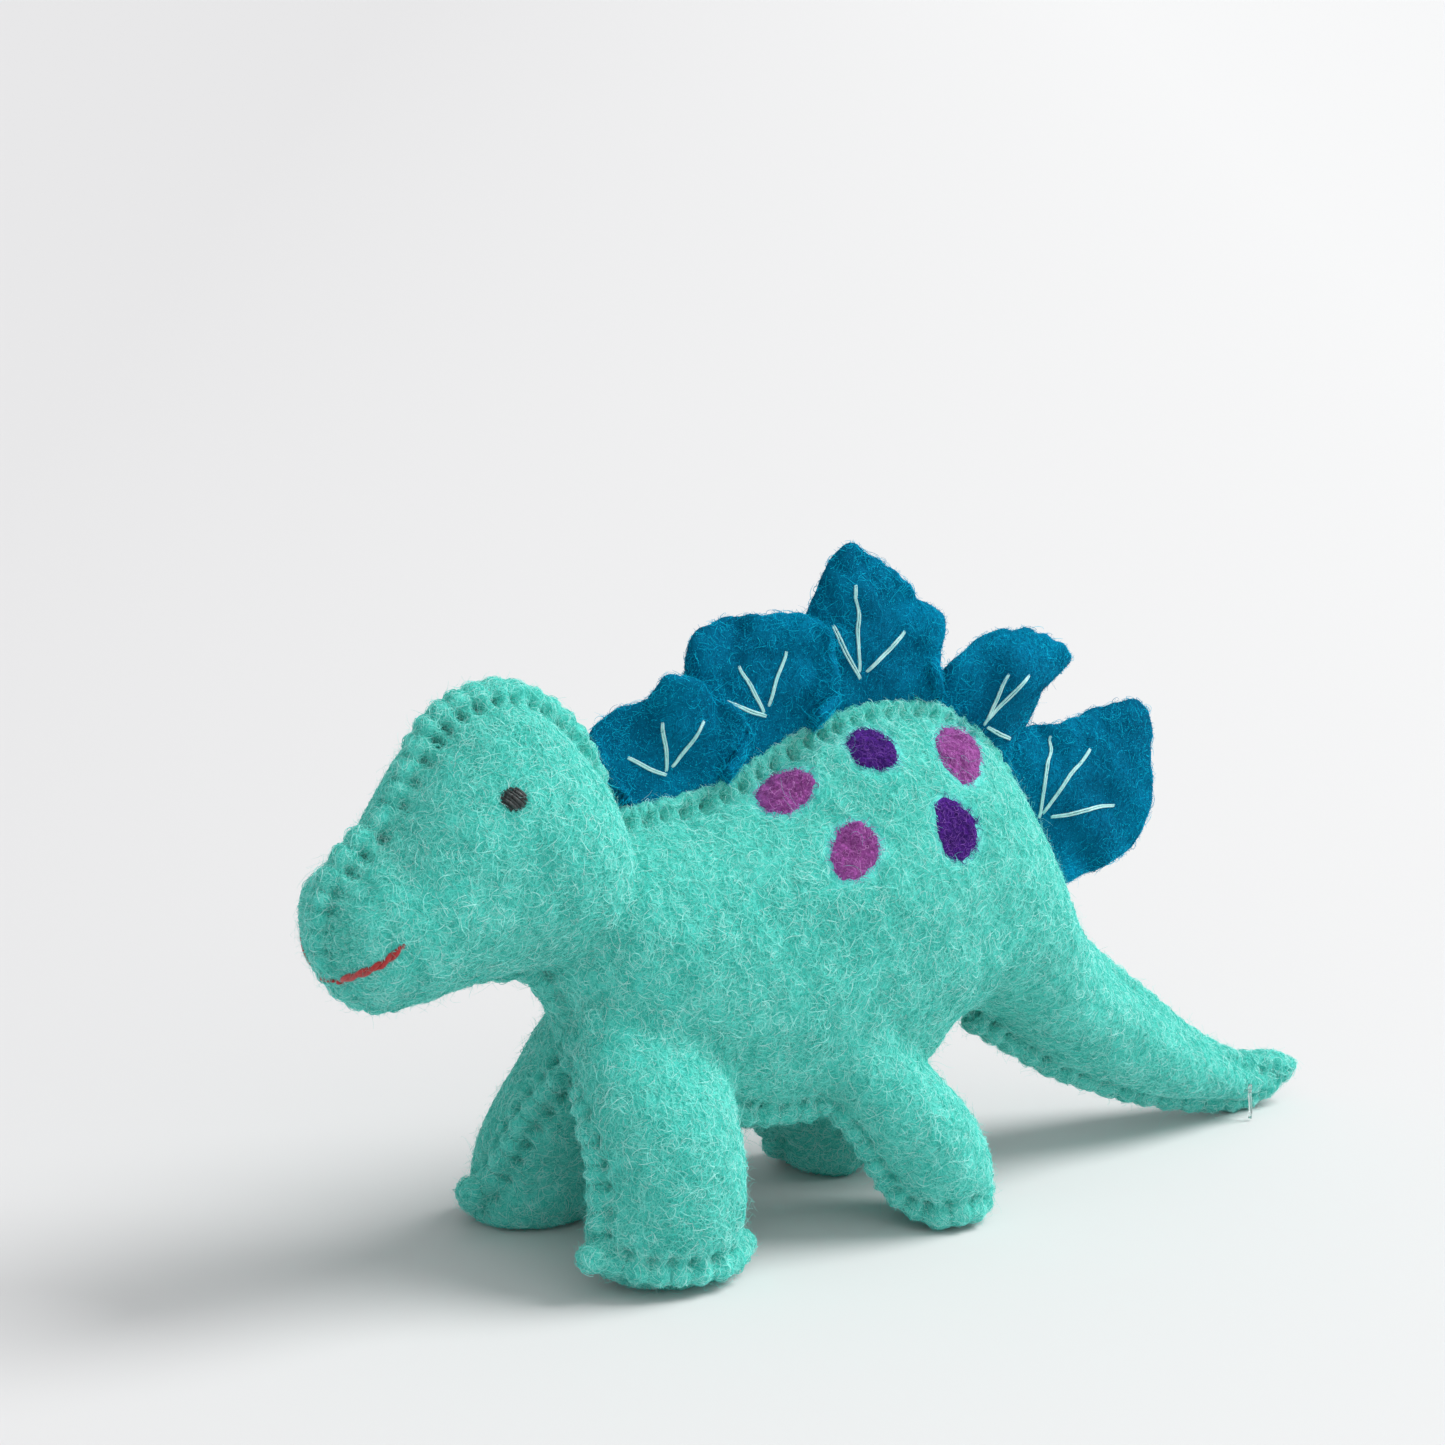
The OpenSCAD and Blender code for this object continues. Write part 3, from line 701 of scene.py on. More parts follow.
# Each wool's fibres: the tones from the darkest fibre to the palest
teal_strands = strand_material("teal fibres", [
    (0.0, (0.02, 0.54, 0.47)), (0.35, (0.11, 0.80, 0.71)), (0.8, (0.33, 0.93, 0.86)),
    (1.0, (0.66, 0.97, 0.95))])
teal_wisps = strand_material("teal wisps", [
    (0.0, (0.015, 0.48, 0.42)), (0.35, (0.06, 0.68, 0.60)), (0.5, (0.28, 0.95, 0.87)),
    (1.0, (0.60, 0.98, 0.95))])
blue_strands = strand_material("blue fibres", [
    (0.0, (0.0003, 0.09, 0.18)), (0.5, (0.0006, 0.165, 0.31)), (0.85, (0.001, 0.32, 0.55)),
    (1.0, (0.004, 0.44, 0.68))], sheen=0.0, glow=0.15, gloss=0.05)
# The crest's rim and halo fibres are a paler blue than the felt: painted rim light standing in for the
# plates' lit edges.
painted_rim_light_strands = strand_material("blue fibres painted paler as rim light", [
    (0.0, (0.0006, 0.22, 0.38)), (0.5, (0.001, 0.46, 0.70)), (1.0, (0.01, 0.70, 0.93))],
    sheen=0.0, glow=0.4, gloss=0.05)
magenta_strands = strand_material("magenta fibres", [
    (0.0, (0.22, 0.04, 0.22)), (0.6, (0.41, 0.112, 0.42)), (1.0, (0.66, 0.28, 0.66))], sheen=0.1)
purple_strands = strand_material("purple fibres", [
    (0.0, (0.04, 0.01, 0.16)), (0.6, (0.10, 0.027, 0.28)), (1.0, (0.26, 0.10, 0.50))],
    sheen=0.05, glow=0.15, gloss=0.1)

# ---- Making pieces


def into_scene(name, data):
    thing = bpy.data.objects.new(name, data)
    bpy.context.scene.collection.objects.link(thing)
    return thing


def add_piece(name, points, faces, material, slot=None, nodes=(), stage=False):
    """points in millimetres; faces as arrays of equally many corners, or a list of such arrays."""
    groups = faces if isinstance(faces, list) else [faces]
    groups = [np.asarray(g) for g in groups if len(g)]
    sizes = np.concatenate([np.full(len(g), g.shape[1]) for g in groups])
    corners = np.concatenate([g.reshape(-1) for g in groups])
    mesh = bpy.data.meshes.new(name)
    mesh.vertices.add(len(points))
    place = (np.asarray(points, float) - (CENTRE_X, 0, 0)) * MM
    mesh.vertices.foreach_set("co", place.reshape(-1).astype(np.float32))
    mesh.loops.add(len(corners))
    mesh.loops.foreach_set("vertex_index", corners.astype(np.int32))
    mesh.polygons.add(len(sizes))
    starts = np.concatenate([[0], np.cumsum(sizes)[:-1]])
    mesh.polygons.foreach_set("loop_start", starts.astype(np.int32))
    mesh.polygons.foreach_set("use_smooth", np.ones(len(sizes), bool))
    mesh.materials.append(material)
    mesh.update(calc_edges=True)
    mesh.validate()
    piece = into_scene(name, mesh)
    if stage:
        return piece
    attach(piece, "root")
    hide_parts(*nodes)
    return piece


def add_fibres(name, paths, radius, material, parent):
    """paths: fibres x points x 3, in millimetres."""
    count, length = paths.shape[:2]
    curves = bpy.data.hair_curves.new(name)
    curves.add_curves([length] * count)
    place = (paths - (CENTRE_X, 0, 0)) * MM
    curves.position_data.foreach_set("vector", place.reshape(-1).astype(np.float32))
    width = curves.attributes.new("radius", "FLOAT", "POINT")
    taper = np.linspace(1.0, 0.35, length)[None, :] * radius * MM
    width.data.foreach_set("value", np.broadcast_to(taper, (count, length)).reshape(-1).astype(np.float32))
    curves.materials.append(material)
    into_scene(name, curves).parent = parent


def closed_shell(points, normals, quads, thickness):
    """Outer faces, an inner copy moved in by the thickness, and the rim between them."""
    used, local = np.unique(quads, return_inverse=True)
    quads = local.reshape(quads.shape)
    outer, normal = points[used], normals[used]
    n = len(outer)
    sides = np.concatenate([quads[:, [i, (i + 1) % 4]] for i in range(4)])
    key = np.sort(sides, 1)
    key = key[:, 0].astype(np.int64) * n + key[:, 1]
    _, first, times = np.unique(key, return_index=True, return_counts=True)
    rim = sides[first[times == 1]]
    rim_faces = np.column_stack([rim[:, 1], rim[:, 0], rim[:, 0] + n, rim[:, 1] + n])
    inner = outer - normal * thickness
    return np.concatenate([outer, inner]), np.concatenate([quads, quads[:, ::-1] + n, rim_faces])


def in_polygon(x, y, corners):
    inside = np.zeros(len(x), bool)
    for (x0, y0), (x1, y1) in zip(corners, corners[1:] + corners[:1]):
        if y0 == y1:
            continue
        crosses = ((y0 > y) != (y1 > y)) & (x < (x1 - x0) * (y - y0) / (y1 - y0) + x0)
        inside ^= crosses
    return inside


def in_gusset(p):
    across = np.abs(p[:, 1])
    return (in_polygon(p[:, 0], across, GUSSET_PLAN) & in_polygon(p[:, 0], p[:, 2], GUSSET_SIDE)
            & (p[:, 2] < np.interp(across, GUSSET_FRONT_Y, GUSSET_FRONT_Z)))


FELT_T = 1.6  # the fuzz takes up the rest
centres = outside_points[outside_quads].mean(1)
gusset_faces = in_gusset(centres)
left_faces = ~gusset_faces & (centres[:, 1] < 0)
right_faces = ~gusset_faces & (centres[:, 1] >= 0)
panels = {}
for name, node, chosen in (("left_panel_felt", "left_side_panel", left_faces),
                           ("right_panel_felt", "right_side_panel", right_faces),
                           ("belly_gusset_felt", "belly_gusset", gusset_faces)):
    shell = closed_shell(outside_points, outside_normals, outside_quads[chosen], FELT_T)
    panels[name] = add_piece(name, *shell, teal_felt, "body_felt", [node])

# ---- Stuffing: loose wads inside the felt

WAD_INSET = 3.2
WAD_STEP = 2.5
WAD_BAND = 9


def wad(name, node, holds):
    """One wad of wool; holds is a field that is negative within the wad's own stretch of the toy."""
    def field(p):
        return np.maximum(stuffed(p) + WAD_INSET + 0.3 * waves(p, 6, 5), holds(p))

    points, quads, _ = Net(field, LOWEST, HIGHEST, WAD_STEP, WAD_BAND).mesh()
    piece = add_piece(name, points, quads, white_wool, "stuffing", [node])


NECK_X = -33
TAIL_X = 62
LEG_TOP_Z = 24


def leg_room(p, side, hind):
    """Negative within the space of one leg's wad."""
    split = (p[:, 0] - 2) * (-1 if hind else 1)
    return np.maximum(np.maximum(p[:, 2] - LEG_TOP_Z, 7 - side * p[:, 1]), split)


def no_leg_room(p):
    out = np.full(len(p), -9.0)
    for side in (-1, 1):
        for hind in (False, True):
            out = np.maximum(out, -leg_room(p, side, hind) + 0.6)
    return out


wad("head_wad", "head_stuffing", lambda p: p[:, 0] - (NECK_X - 0.3))
wad("tail_wad", "tail_stuffing", lambda p: TAIL_X + 0.3 - p[:, 0])
wad("body_wad", "body_stuffing",
    lambda p: np.maximum(np.maximum(NECK_X + 0.3 - p[:, 0], p[:, 0] - TAIL_X + 0.3), no_leg_room(p)))
for end, side, hind, label in (("front", -1, False, "left"), ("front", 1, False, "right"),
                               ("hind", -1, True, "left"), ("hind", 1, True, "right")):
    wad(f"{end}_{label}_leg_wad", f"{end}_{label}_leg_stuffing",
        lambda p, side=side, hind=hind: leg_room(p, side, hind))

# ---- Seen places: a point given in the middle plane, moved along the view line to another depth

VIEWPOINT = np.array([-433.5, -663.9, 272.5])  # where the camera stands


def seen(x, z, y):
    """The place at lateral position y that lies in line with (x, z) of the middle plane."""
    x, z, y = np.broadcast_arrays(np.asarray(x, float), z, y)
    grow = 1 + y / -VIEWPOINT[1]
    return np.stack([VIEWPOINT[0] + (x - VIEWPOINT[0]) * grow, y,
                     VIEWPOINT[2] + (z - VIEWPOINT[2]) * grow], -1)


def on_skin(x, z, nearest=-34.0, farthest=4.0):
    """Where the view line through (x, z) of the middle plane meets the toy, with the normal."""
    x, z = np.asarray(x, float), np.asarray(z, float)
    low = np.full(x.shape, nearest)
    found = np.zeros(x.shape, bool)
    for y in np.arange(nearest, farthest, 0.5):
        hit = ~found & (net.at(seen(x, z, y)) < 0)
        low[hit] = y - 0.5
        found |= hit
    high = low + 0.5
    for _ in range(8):
        mid = (low + high) / 2
        within = net.at(seen(x, z, mid)) < 0
        high = np.where(within, mid, high)
        low = np.where(within, low, mid)
    place = seen(x, z, high)
    return place, unit(net.slope_at(place, 0.9))


# ---- Tubes of thread


def grid_quads(rows, columns, closed=False):
    """Faces of a grid of points counted row by row; closed joins the last column to the first."""
    i, j = np.meshgrid(np.arange(rows - 1), np.arange(columns if closed else columns - 1), indexing="ij")
    k = (j + 1) % columns
    below = (i + 1) * columns
    return np.stack([i * columns + j, below + j, below + k, i * columns + k], -1).reshape(-1, 4)


def tube(path, radius, sides=8):
    path = np.asarray(path, float)
    radius = np.broadcast_to(radius, len(path))
    way = unit(np.gradient(path, axis=0))
    side = np.cross(way[0], (0.3, 0.5, 0.81))
    rings = []
    for p, w, r in zip(path, way, radius):
        side = side - w * (side @ w)
        side = side / max(np.linalg.norm(side), 1e-9)
        up = np.cross(w, side)
        turn = 2 * math.pi * np.arange(sides) / sides
        rings.append(p + r * (np.cos(turn)[:, None] * side + np.sin(turn)[:, None] * up))
    points = np.concatenate(rings + [path[:1], path[-1:]])
    n = len(path)
    quads = np.roll(grid_quads(n, sides, True)[:, ::-1], 1, 1)
    j = np.arange(sides)
    k = (j + 1) % sides
    start = np.column_stack([k, j, np.full(sides, n * sides)])
    end = np.column_stack([(n - 1) * sides + j, (n - 1) * sides + k, np.full(sides, n * sides + 1)])
    return points, quads, np.concatenate([start, end])


def joined(parts):
    """Parts, each of points and one or more arrays of faces, as the points and arrays of one mesh."""
    points, *kinds = zip(*parts)
    starts = np.cumsum([0] + [len(p) for p in points])
    faces = [np.concatenate([f + start for f, start in zip(kind, starts)]) for kind in kinds]
    return np.concatenate(points), faces


def add_tubes(name, paths, radius, material, slot, nodes, sides=8):
    points, faces = joined([tube(path, radius, sides) for path in paths])
    add_piece(name, points, faces, material, slot, nodes)


# ---- Sewing thread over the seams' edges


def edge_loops(first, last, spread):
    """Stitches over the middle seam's edge between two stretches of STRETCHES."""
    loops = []
    for line, known in list(zip(SEAM_POINTS, SEAM_FIGURES))[first:last]:
        run = known[:, 0]
        below, slant = known[0, 3], known[0, 5]
        for at in STITCHES[(STITCHES > run[0] + 1) & (STITCHES < run[-1] - 1)]:
            centre = point_at(run, line, at)
            ahead = point_at(run, line, at + 1) - centre
            inward = np.array([-ahead[1], ahead[0]])
            arc = []
            for turn in np.linspace(-1, 1, 9):
                depth = 1.5 + (below - 1.2) * turn ** 2
                xz = centre + inward * depth - ahead * slant * (depth - below) * 0.8
                arc.append((xz[0], turn * spread, xz[1]))
            arc = settle_thread(np.array(arc))
            if arc[:, 2].min() > 0.5:
                loops.append(arc)
    return loops


def settle_thread(arc, sink=0.12):
    value = net.at(arc)
    slope = net.slope_at(arc)
    return arc - slope * ((value + sink) / np.maximum((slope ** 2).sum(-1), 0.2))[:, None].clip(-2, 2)


def gusset_loops(seam):
    loops = []
    for at in seam.stitches[1:-1]:
        centre = point_at(seam.run, seam.line, at)
        ahead = unit(point_at(seam.run, seam.line, at + 1) - centre)
        out = unit(field_slope(stuffed, centre[None])[1][0])
        across = unit(np.cross(ahead, out))
        turn = np.linspace(-2.2, 2.2, 9)[:, None]
        arc = centre + across * turn + out * (1.9 - 0.3 * turn ** 2)
        arc = settle_thread(settle_thread(arc))
        if arc[:, 2].min() > 0.5:
            loops.append(arc)
    return loops


THREAD_R = 0.3
for name, loops in (("head_seam", edge_loops(0, 2, 3.0)), ("back_seam", edge_loops(4, 5, 3.0)),
                    ("tail_seam", edge_loops(2, 4, 2.8)), ("left_gusset", gusset_loops(gusset_seams[0])),
                    ("right_gusset", gusset_loops(gusset_seams[1]))):
    add_tubes(f"{name}_stitches", loops, THREAD_R, teal_thread, "body_thread", [f"{name}_thread"], 6)

# ---- The crest: one gathered strip with five lobes, given as seen in the middle plane

# Each plate: line along the seam, outline from its head end to its tail end, and how far the sheet
# swings sideways at its outline and halfway up, from the head end to the tail end
PLATES = [
    ([(-22, 76.5), (-12, 76.5), (-3, 77.5)],
     [(-22.1, 79.2), (-26.8, 85), (-28.6, 90.7), (-25.3, 93.2), (-21.9, 94.5), (-17.8, 94.6), (-16, 96.3),
      (-14.1, 98.1), (-9.2, 97.6), (-7, 96.8), (-5, 94.3), (-0.2, 91.8), (2.4, 89.4), (2.8, 86.2),
      (2, 83.5), (-1, 80.5)],
     (-3, 2, 3.5, -1, -2, -2.5, -6), (-2.5, 1, 2, -0.5, -1, -2, -4)),
    ([(-9, 76.5), (3, 80), (14, 84)],
     [(-9, 79.5), (-10.5, 89), (-9.2, 99), (-7.5, 105.2), (-3.1, 106.7), (6.6, 106.6), (14.6, 105.6),
      (19.5, 102.6), (21.2, 97.1), (21.6, 90.9), (17.5, 87.5)],
     (4, 4, 3.5, 2.5, 1, -3, -7), (2.5, 0.5, -1, -1.5, -2, -3, -4)),
    ([(14, 84.5), (27, 86), (42, 84.5)],
     [(14.5, 87), (14.2, 97), (15, 105.6), (17.1, 109.5), (20.4, 115.2), (23.7, 116.9), (29.3, 113.5),
      (36.1, 108.7), (37.8, 105.7), (42, 103.4), (43.5, 100.7), (42.5, 97.3), (42.9, 89.6)],
     (4, 4, 3, 1, 0.5, 2, -3), (3, 0.5, -1, -2, -1.5, 0, -2)),
    ([(42, 84), (48, 81), (56, 73)],
     [(42.9, 87), (43.4, 91), (49.6, 95.7), (53, 97.4), (60, 97.5), (65.9, 95.9), (71.2, 91.6),
      (66, 88.8), (62.9, 83.4), (59.3, 78.1), (57.5, 75)],
     (3, 4, 3, 1, 5, 7, 4), (2, 0, -3, -5, -2, 2, 1)),
    ([(56.5, 72), (61, 63), (67, 51.5)],
     [(58.5, 75), (60, 78.2), (70.5, 79.5), (79.4, 80.9), (86.4, 81.1), (88.4, 79.8), (89.4, 71.9),
      (89.3, 60.8), (85.6, 54.8), (77.3, 51.4), (69.4, 49.8)],
     (3, 3, 4, 4, 2.5, 1, -1), (2, 0.5, -1, -2, -1.5, 0, -1)),
]
CREST_HALF = 0.95
COLUMNS = 110
ROWS_INSIDE = 26


def at_shares(corners, share):
    """Points at the given shares of a smooth line's length."""
    line = smooth_line(corners, 0.2)
    run = run_of(line)
    return np.column_stack([np.interp(share, run / run[-1], column) for column in line.T])


def plate_sheet(number):
    """The plate's middle surface as a grid, with its normals and half thicknesses."""
    base, outline, top_swing, half_swing = PLATES[number]
    share = np.linspace(0, 1, COLUMNS)
    low = at_shares(base, share)
    high = at_shares(outline, share)
    wobble = 0.22 * waves(high, 5, 40 + number)
    high = high + wobble[:, None]
    length = np.linalg.norm(high - low, axis=1)
    rim = np.array([0, 0.06, 0.2, 0.42, 0.7, 1.0])
    up = np.concatenate([np.linspace(0, 1, ROWS_INSIDE, endpoint=False)[None].repeat(COLUMNS, 0)
                         * (1 - 1.25 / np.maximum(length, 1.6))[:, None],
                         1 - (rim[::-1] / np.maximum(length, 1.6)[:, None])], 1)
    knots = np.linspace(0, 1, len(top_swing))
    top = hermite(knots, top_swing, share)[:, None]
    half = hermite(knots, half_swing, share)[:, None]
    swing = 2 * up * (1 - up) * half + up * (2 * up - 1) * top
    flat = low[:, None] * (1 - up[..., None]) + high[:, None] * up[..., None]
    swing = swing + 1.3 * up * waves(flat, 12, 60 + number) + 0.28 * up * waves(flat, 5, 70 + number)
    sheet = seen(flat[..., 0], flat[..., 1], swing)
    normal = unit(np.cross(np.gradient(sheet, axis=0), np.gradient(sheet, axis=1)))
    normal *= np.where(normal[..., 1:2] > 0, -1, 1)
    from_edge = (1 - up) * length[:, None]
    profile = np.sqrt(np.clip(1 - (1 - np.minimum(from_edge, 1.0)) ** 2, 0, 1))
    return flat, sheet, normal, CREST_HALF * np.maximum(profile, 0.02)


def sheet_shell(sheet, normal, half):
    columns, rows = half.shape
    front = sheet + normal * half[..., None]
    back = sheet - normal * half[..., None]
    points = np.concatenate([front.reshape(-1, 3), back.reshape(-1, 3)])
    n = columns * rows
    quads = grid_quads(columns, rows)
    loop = np.concatenate([np.arange(columns) * rows, (columns - 1) * rows + np.arange(1, rows),
                           np.arange(columns - 2, -1, -1) * rows + rows - 1, np.arange(rows - 2, 0, -1)])
    following = np.roll(loop, -1)
    rim = np.column_stack([loop, following, following + n, loop + n])
    return points, np.concatenate([quads[:, ::-1], quads + n, rim])


plates = [plate_sheet(k) for k in range(len(PLATES))]
crest_points, (crest_faces,) = joined([sheet_shell(sheet, normal, half) for _, sheet, normal, half in plates])
crest = add_piece("crest_felt", crest_points, crest_faces, blue_felt, "crest_felt", ["crest_strip"])

# Veins: the root, then the tips, as seen
VEINS = [
    [(-13.8, 81.5), (-21.9, 85.9), (-13.9, 90.7), (-6.5, 90.2)],
    [(6.3, 89.1), (-1.8, 92.7), (0.6, 98.6), (10.2, 100.4)],
    [(25.7, 93), (20.1, 103.4), (24.9, 109.8), (35, 100.9)],
    [(51.9, 81.4), (58, 90), (61.7, 89.5), (57.6, 78.5)],
    [(64.2, 62.5), (67.5, 77.9), (75.6, 74.2), (81.4, 63.3)],
]


def on_plate(number, x, z):
    """The plate's middle surface, normal and half thickness at seen places."""
    flat, sheet, normal, half = plates[number]
    cells = flat.reshape(-1, 2)
    out = []
    for a, b in zip(x, z):
        d = (cells[:, 0] - a) ** 2 + (cells[:, 1] - b) ** 2
        near = np.argpartition(d, 4)[:4]
        w = 1 / (d[near] + 0.02)
        w = w / w.sum()
        depth = w @ sheet.reshape(-1, 3)[near][:, 1]
        out.append(np.concatenate([seen(a, b, depth), unit(w @ normal.reshape(-1, 3)[near]),
                                   [w @ half.reshape(-1)[near]]]))
    out = np.array(out)
    return out[:, :3], out[:, 3:6], out[:, 6]


VEIN_R = 0.18
for number, vein in enumerate(VEINS):
    root = np.array(vein[0], float)
    strands = []
    for k, tip in enumerate(vein[1:]):
        tip = np.array(tip, float)
        start = root + (tip - root) * 0.06 * k
        share = np.linspace(0, 1, 22)
        line = start + (tip - start) * share[:, None]
        across = unit(np.array([-(tip - start)[1], (tip - start)[0]]))
        for strand in (-1, 1):
            bow = (0.13 + 0.07 * np.sin(math.pi * share)) * strand + 0.3 * np.sin(2.4 * share + k)
            path = line + across * bow[:, None]
            place, out, half = on_plate(number, path[:, 0], path[:, 1])
            lift = (half + 0.18 - 0.5 * np.abs(2 * share - 1) ** 8)[:, None]
            strands += [place + out * lift, place - out * lift]
    add_tubes(f"plate_{number + 1}_embroidery", strands, VEIN_R, aqua_thread, "vein_thread",
              [f"plate_{number + 1}_veins"], 6)

# ---- Needle-felted spots: middle as seen, half sizes, turn in degrees, how pointed, wool

SPOTS = [
    (10.8, 75.1, 6.2, 4.0, 4, 0.1, "magenta"),
    (28.7, 80.0, 5.9, 3.5, -28, 0.1, "purple"),
    (24.9, 62.5, 5.3, 5.6, 0, 0.05, "magenta"),
    (47.3, 76.6, 6.5, 4.0, -52, 0.1, "magenta"),
    (46.7, 62.8, 6.1, 4.2, -62, 0.3, "purple"),
]
SPOT_WOOL = {"magenta": magenta_wool, "purple": purple_wool}
SPOT_STRANDS = {"magenta": magenta_strands, "purple": purple_strands}
RINGS = 16
SPOKES = 56
SPOT_RISE = 0.55  # how far the wool stands proud of the felt, and how deep it goes
SPOT_ROOT = 0.6
spot_pieces = []
for number, (x0, z0, long_half, short_half, turn, pointed, wool) in enumerate(SPOTS):
    angle = 2 * math.pi * np.arange(SPOKES) / SPOKES
    ragged = 1 + 0.05 * np.sin(3 * angle + number) + 0.035 * np.sin(7 * angle + 2.3 * number)
    ragged += 0.03 * np.sin(13 * angle + number * 1.7) + pointed * np.maximum(0, np.cos(angle - math.pi)) ** 6
    ring = np.linspace(0, 1, RINGS)[1:, None]
    a = ring * ragged * long_half * np.cos(angle)
    b = ring * ragged * short_half * np.sin(angle)
    c, s = math.cos(math.radians(turn)), math.sin(math.radians(turn))
    x = np.concatenate([[x0], (x0 + a * c - b * s).reshape(-1)])
    z = np.concatenate([[z0], (z0 + a * s + b * c).reshape(-1)])
    place, out = on_skin(x, z)
    share = np.concatenate([[0], np.repeat(ring[:, 0], SPOKES)])
    rise = (SPOT_RISE * (1 - share ** 5) - 0.5 * share ** 12
            + 0.16 * waves(place, 2.2, 80 + number) * (1 - share ** 3))
    for side, label in ((1, "left"), (-1, "right")):
        flip = (1, side, 1)
        ground = place * flip
        normal = out * flip
        if side == -1:
            ground = settle(lambda p: net.at(p), ground, 2)
        top = ground + normal * rise[:, None]
        under = ground - normal * SPOT_ROOT
        n = len(top)
        quads = 1 + grid_quads(RINGS - 1, SPOKES, True)
        j = np.arange(SPOKES)
        k = (j + 1) % SPOKES
        last = 1 + (RINGS - 2) * SPOKES
        tris = np.column_stack([np.zeros(SPOKES, int), 1 + j, 1 + k])
        rim = np.column_stack([last + j, last + j + n, last + k + n, last + k])
        if side == -1:
            quads, tris, rim = quads[:, ::-1], tris[:, ::-1], rim[:, ::-1]
        faces = [np.concatenate([quads, quads[:, ::-1] + n, rim]), np.concatenate([tris, tris[:, ::-1] + n])]
        piece = add_piece(f"{label}_spot_{number + 1}_wool", np.concatenate([top, under]), faces,
                          SPOT_WOOL[wool], f"{wool}_wool", [f"{label}_spot_{number + 1}"])
        spot_pieces.append((piece, top, normal, share, wool))

# ---- Eyes: a knot of black thread, wound in parallel strands

eye_place, eye_out = on_skin(np.array([-43.5]), np.array([81.4]))
EYE_R = 2.1
EYE_FLAT = 0.86  # its height against its width
WINDING_LEAN = math.radians(38)
for side, label in ((1, "left"), (-1, "right")):
    centre = eye_place[0] * (1, side, 1)
    out = eye_out[0] * (1, side, 1)
    along = unit(np.cross(out, (0.15, 0, 1)))
    up = np.cross(along, out) * side
    windings = []
    for k in range(7):
        shift = (k - 3) / 3.5
        reach = math.sqrt(max(0.05, 1 - shift ** 2))
        t = np.linspace(-1, 1, 15)
        u = t * reach
        height = 1.25 * np.sqrt(np.clip(1.02 - u ** 2 - 0.75 * shift ** 2, 0, 1)) - 0.35 + 0.16 * (k % 2)
        x = (u * math.cos(WINDING_LEAN) - shift * math.sin(WINDING_LEAN)) * EYE_R
        y = (u * math.sin(WINDING_LEAN) + shift * math.cos(WINDING_LEAN)) * EYE_R * EYE_FLAT
        windings.append(centre + along * x[:, None] + up * y[:, None] + out * height[:, None])
    under = []
    for k in range(5):
        shift = (k - 2) / 2.6
        reach = math.sqrt(max(0.05, 1 - shift ** 2)) * 0.92
        t = np.linspace(-1, 1, 13)
        height = 0.75 * np.sqrt(np.clip(1.02 - (t * reach) ** 2 - 0.7 * shift ** 2, 0, 1)) - 0.4
        x = (shift * 0.8 + 0.25 * t) * EYE_R
        y = t * reach * EYE_R * 0.84
        under.append(centre + along * x[:, None] + up * y[:, None] + out * height[:, None])
    add_tubes(f"{label}_eye_knot", windings + under, 0.33, black_thread, "black_thread", [f"{label}_eye"])

# ---- Mouth: two twisted strands of red thread round the muzzle

MOUTH_R = 0.42
MOUTH = [(-77.7, 55.9), (-74.5, 56.2), (-71.9, 56.6), (-69.1, 57.4), (-66.4, 58.8), (-64.2, 60.3)]
line = smooth_line(MOUTH, 0.35)
place, out = on_skin(line[:, 0], line[:, 1])
share = np.linspace(0, 1, len(line))
way = unit(np.gradient(place, axis=0))
across = unit(np.cross(way, out))
mouth = []
for side in (1, -1):
    for strand in (0, math.pi):
        twist = strand + 5.2 * math.pi * share
        spread = 0.36 * np.sin(math.pi * np.clip(share * 1.02, 0, 1)) ** 0.35
        ply = across * np.cos(twist)[:, None] + out * (0.55 * np.sin(twist)[:, None])
        path = place + ply * spread[:, None]
        path = path + out * ((0.28 if side == 1 else 0.12) - 1.2 * share ** 14)[:, None]
        mouth.append(path[share > (0 if side == 1 else 0.05)] * (1, side, 1))
front = place[0]
mouth.append(np.array([front + (0, 0, 0.1), (front[0] - 0.9, front[1] / 2, front[2]),
                       (front[0] - 1.1, 0, front[2]), (front[0] - 0.5, -front[1] / 2, front[2])]))
add_tubes("mouth_strands", mouth, MOUTH_R, red_thread, "red_thread", ["mouth_thread"])

# ---- The clear fastener left at the tail's tip

FASTENER = (109, -6.5, 0.5)
clear = Shader("clear nylon", 0.12, Transmission_Weight=0.85, IOR=1.5, Base_Color=(0.93, 0.97, 0.97, 1))
clear.bump(clear.noise(600, 2), 0.0002, 0.3)
x, y, z = FASTENER
stem = [np.array([(x + 0.12 * math.sin(h * 0.9), y, z + h) for h in np.linspace(0, 6.5, 12)]),
        np.array([(x + 0.05, y + g, z + 5.2) for g in np.linspace(0, 2.4, 6)])]
add_tubes("clear_fastener", stem, 0.36, clear.material, "clear_nylon", ["tag_fastener"])

# ---- Loose fibres on the felt

rng = np.random.default_rng(2024)


def scatter(points, quads, count):
    """Random places on quads, with the quad of each."""
    a, b, c, d = (points[quads[:, i]] for i in range(4))
    area = np.linalg.norm(np.cross(c - a, d - b), axis=1) / 2
    chosen = np.searchsorted(np.cumsum(area) / area.sum(), rng.random(count))
    chosen = np.minimum(chosen, len(quads) - 1)
    u, v = rng.random((2, count, 1))
    place = (a[chosen] * (1 - u) + b[chosen] * u) * (1 - v) + (d[chosen] * (1 - u) + c[chosen] * u) * v
    return place, chosen


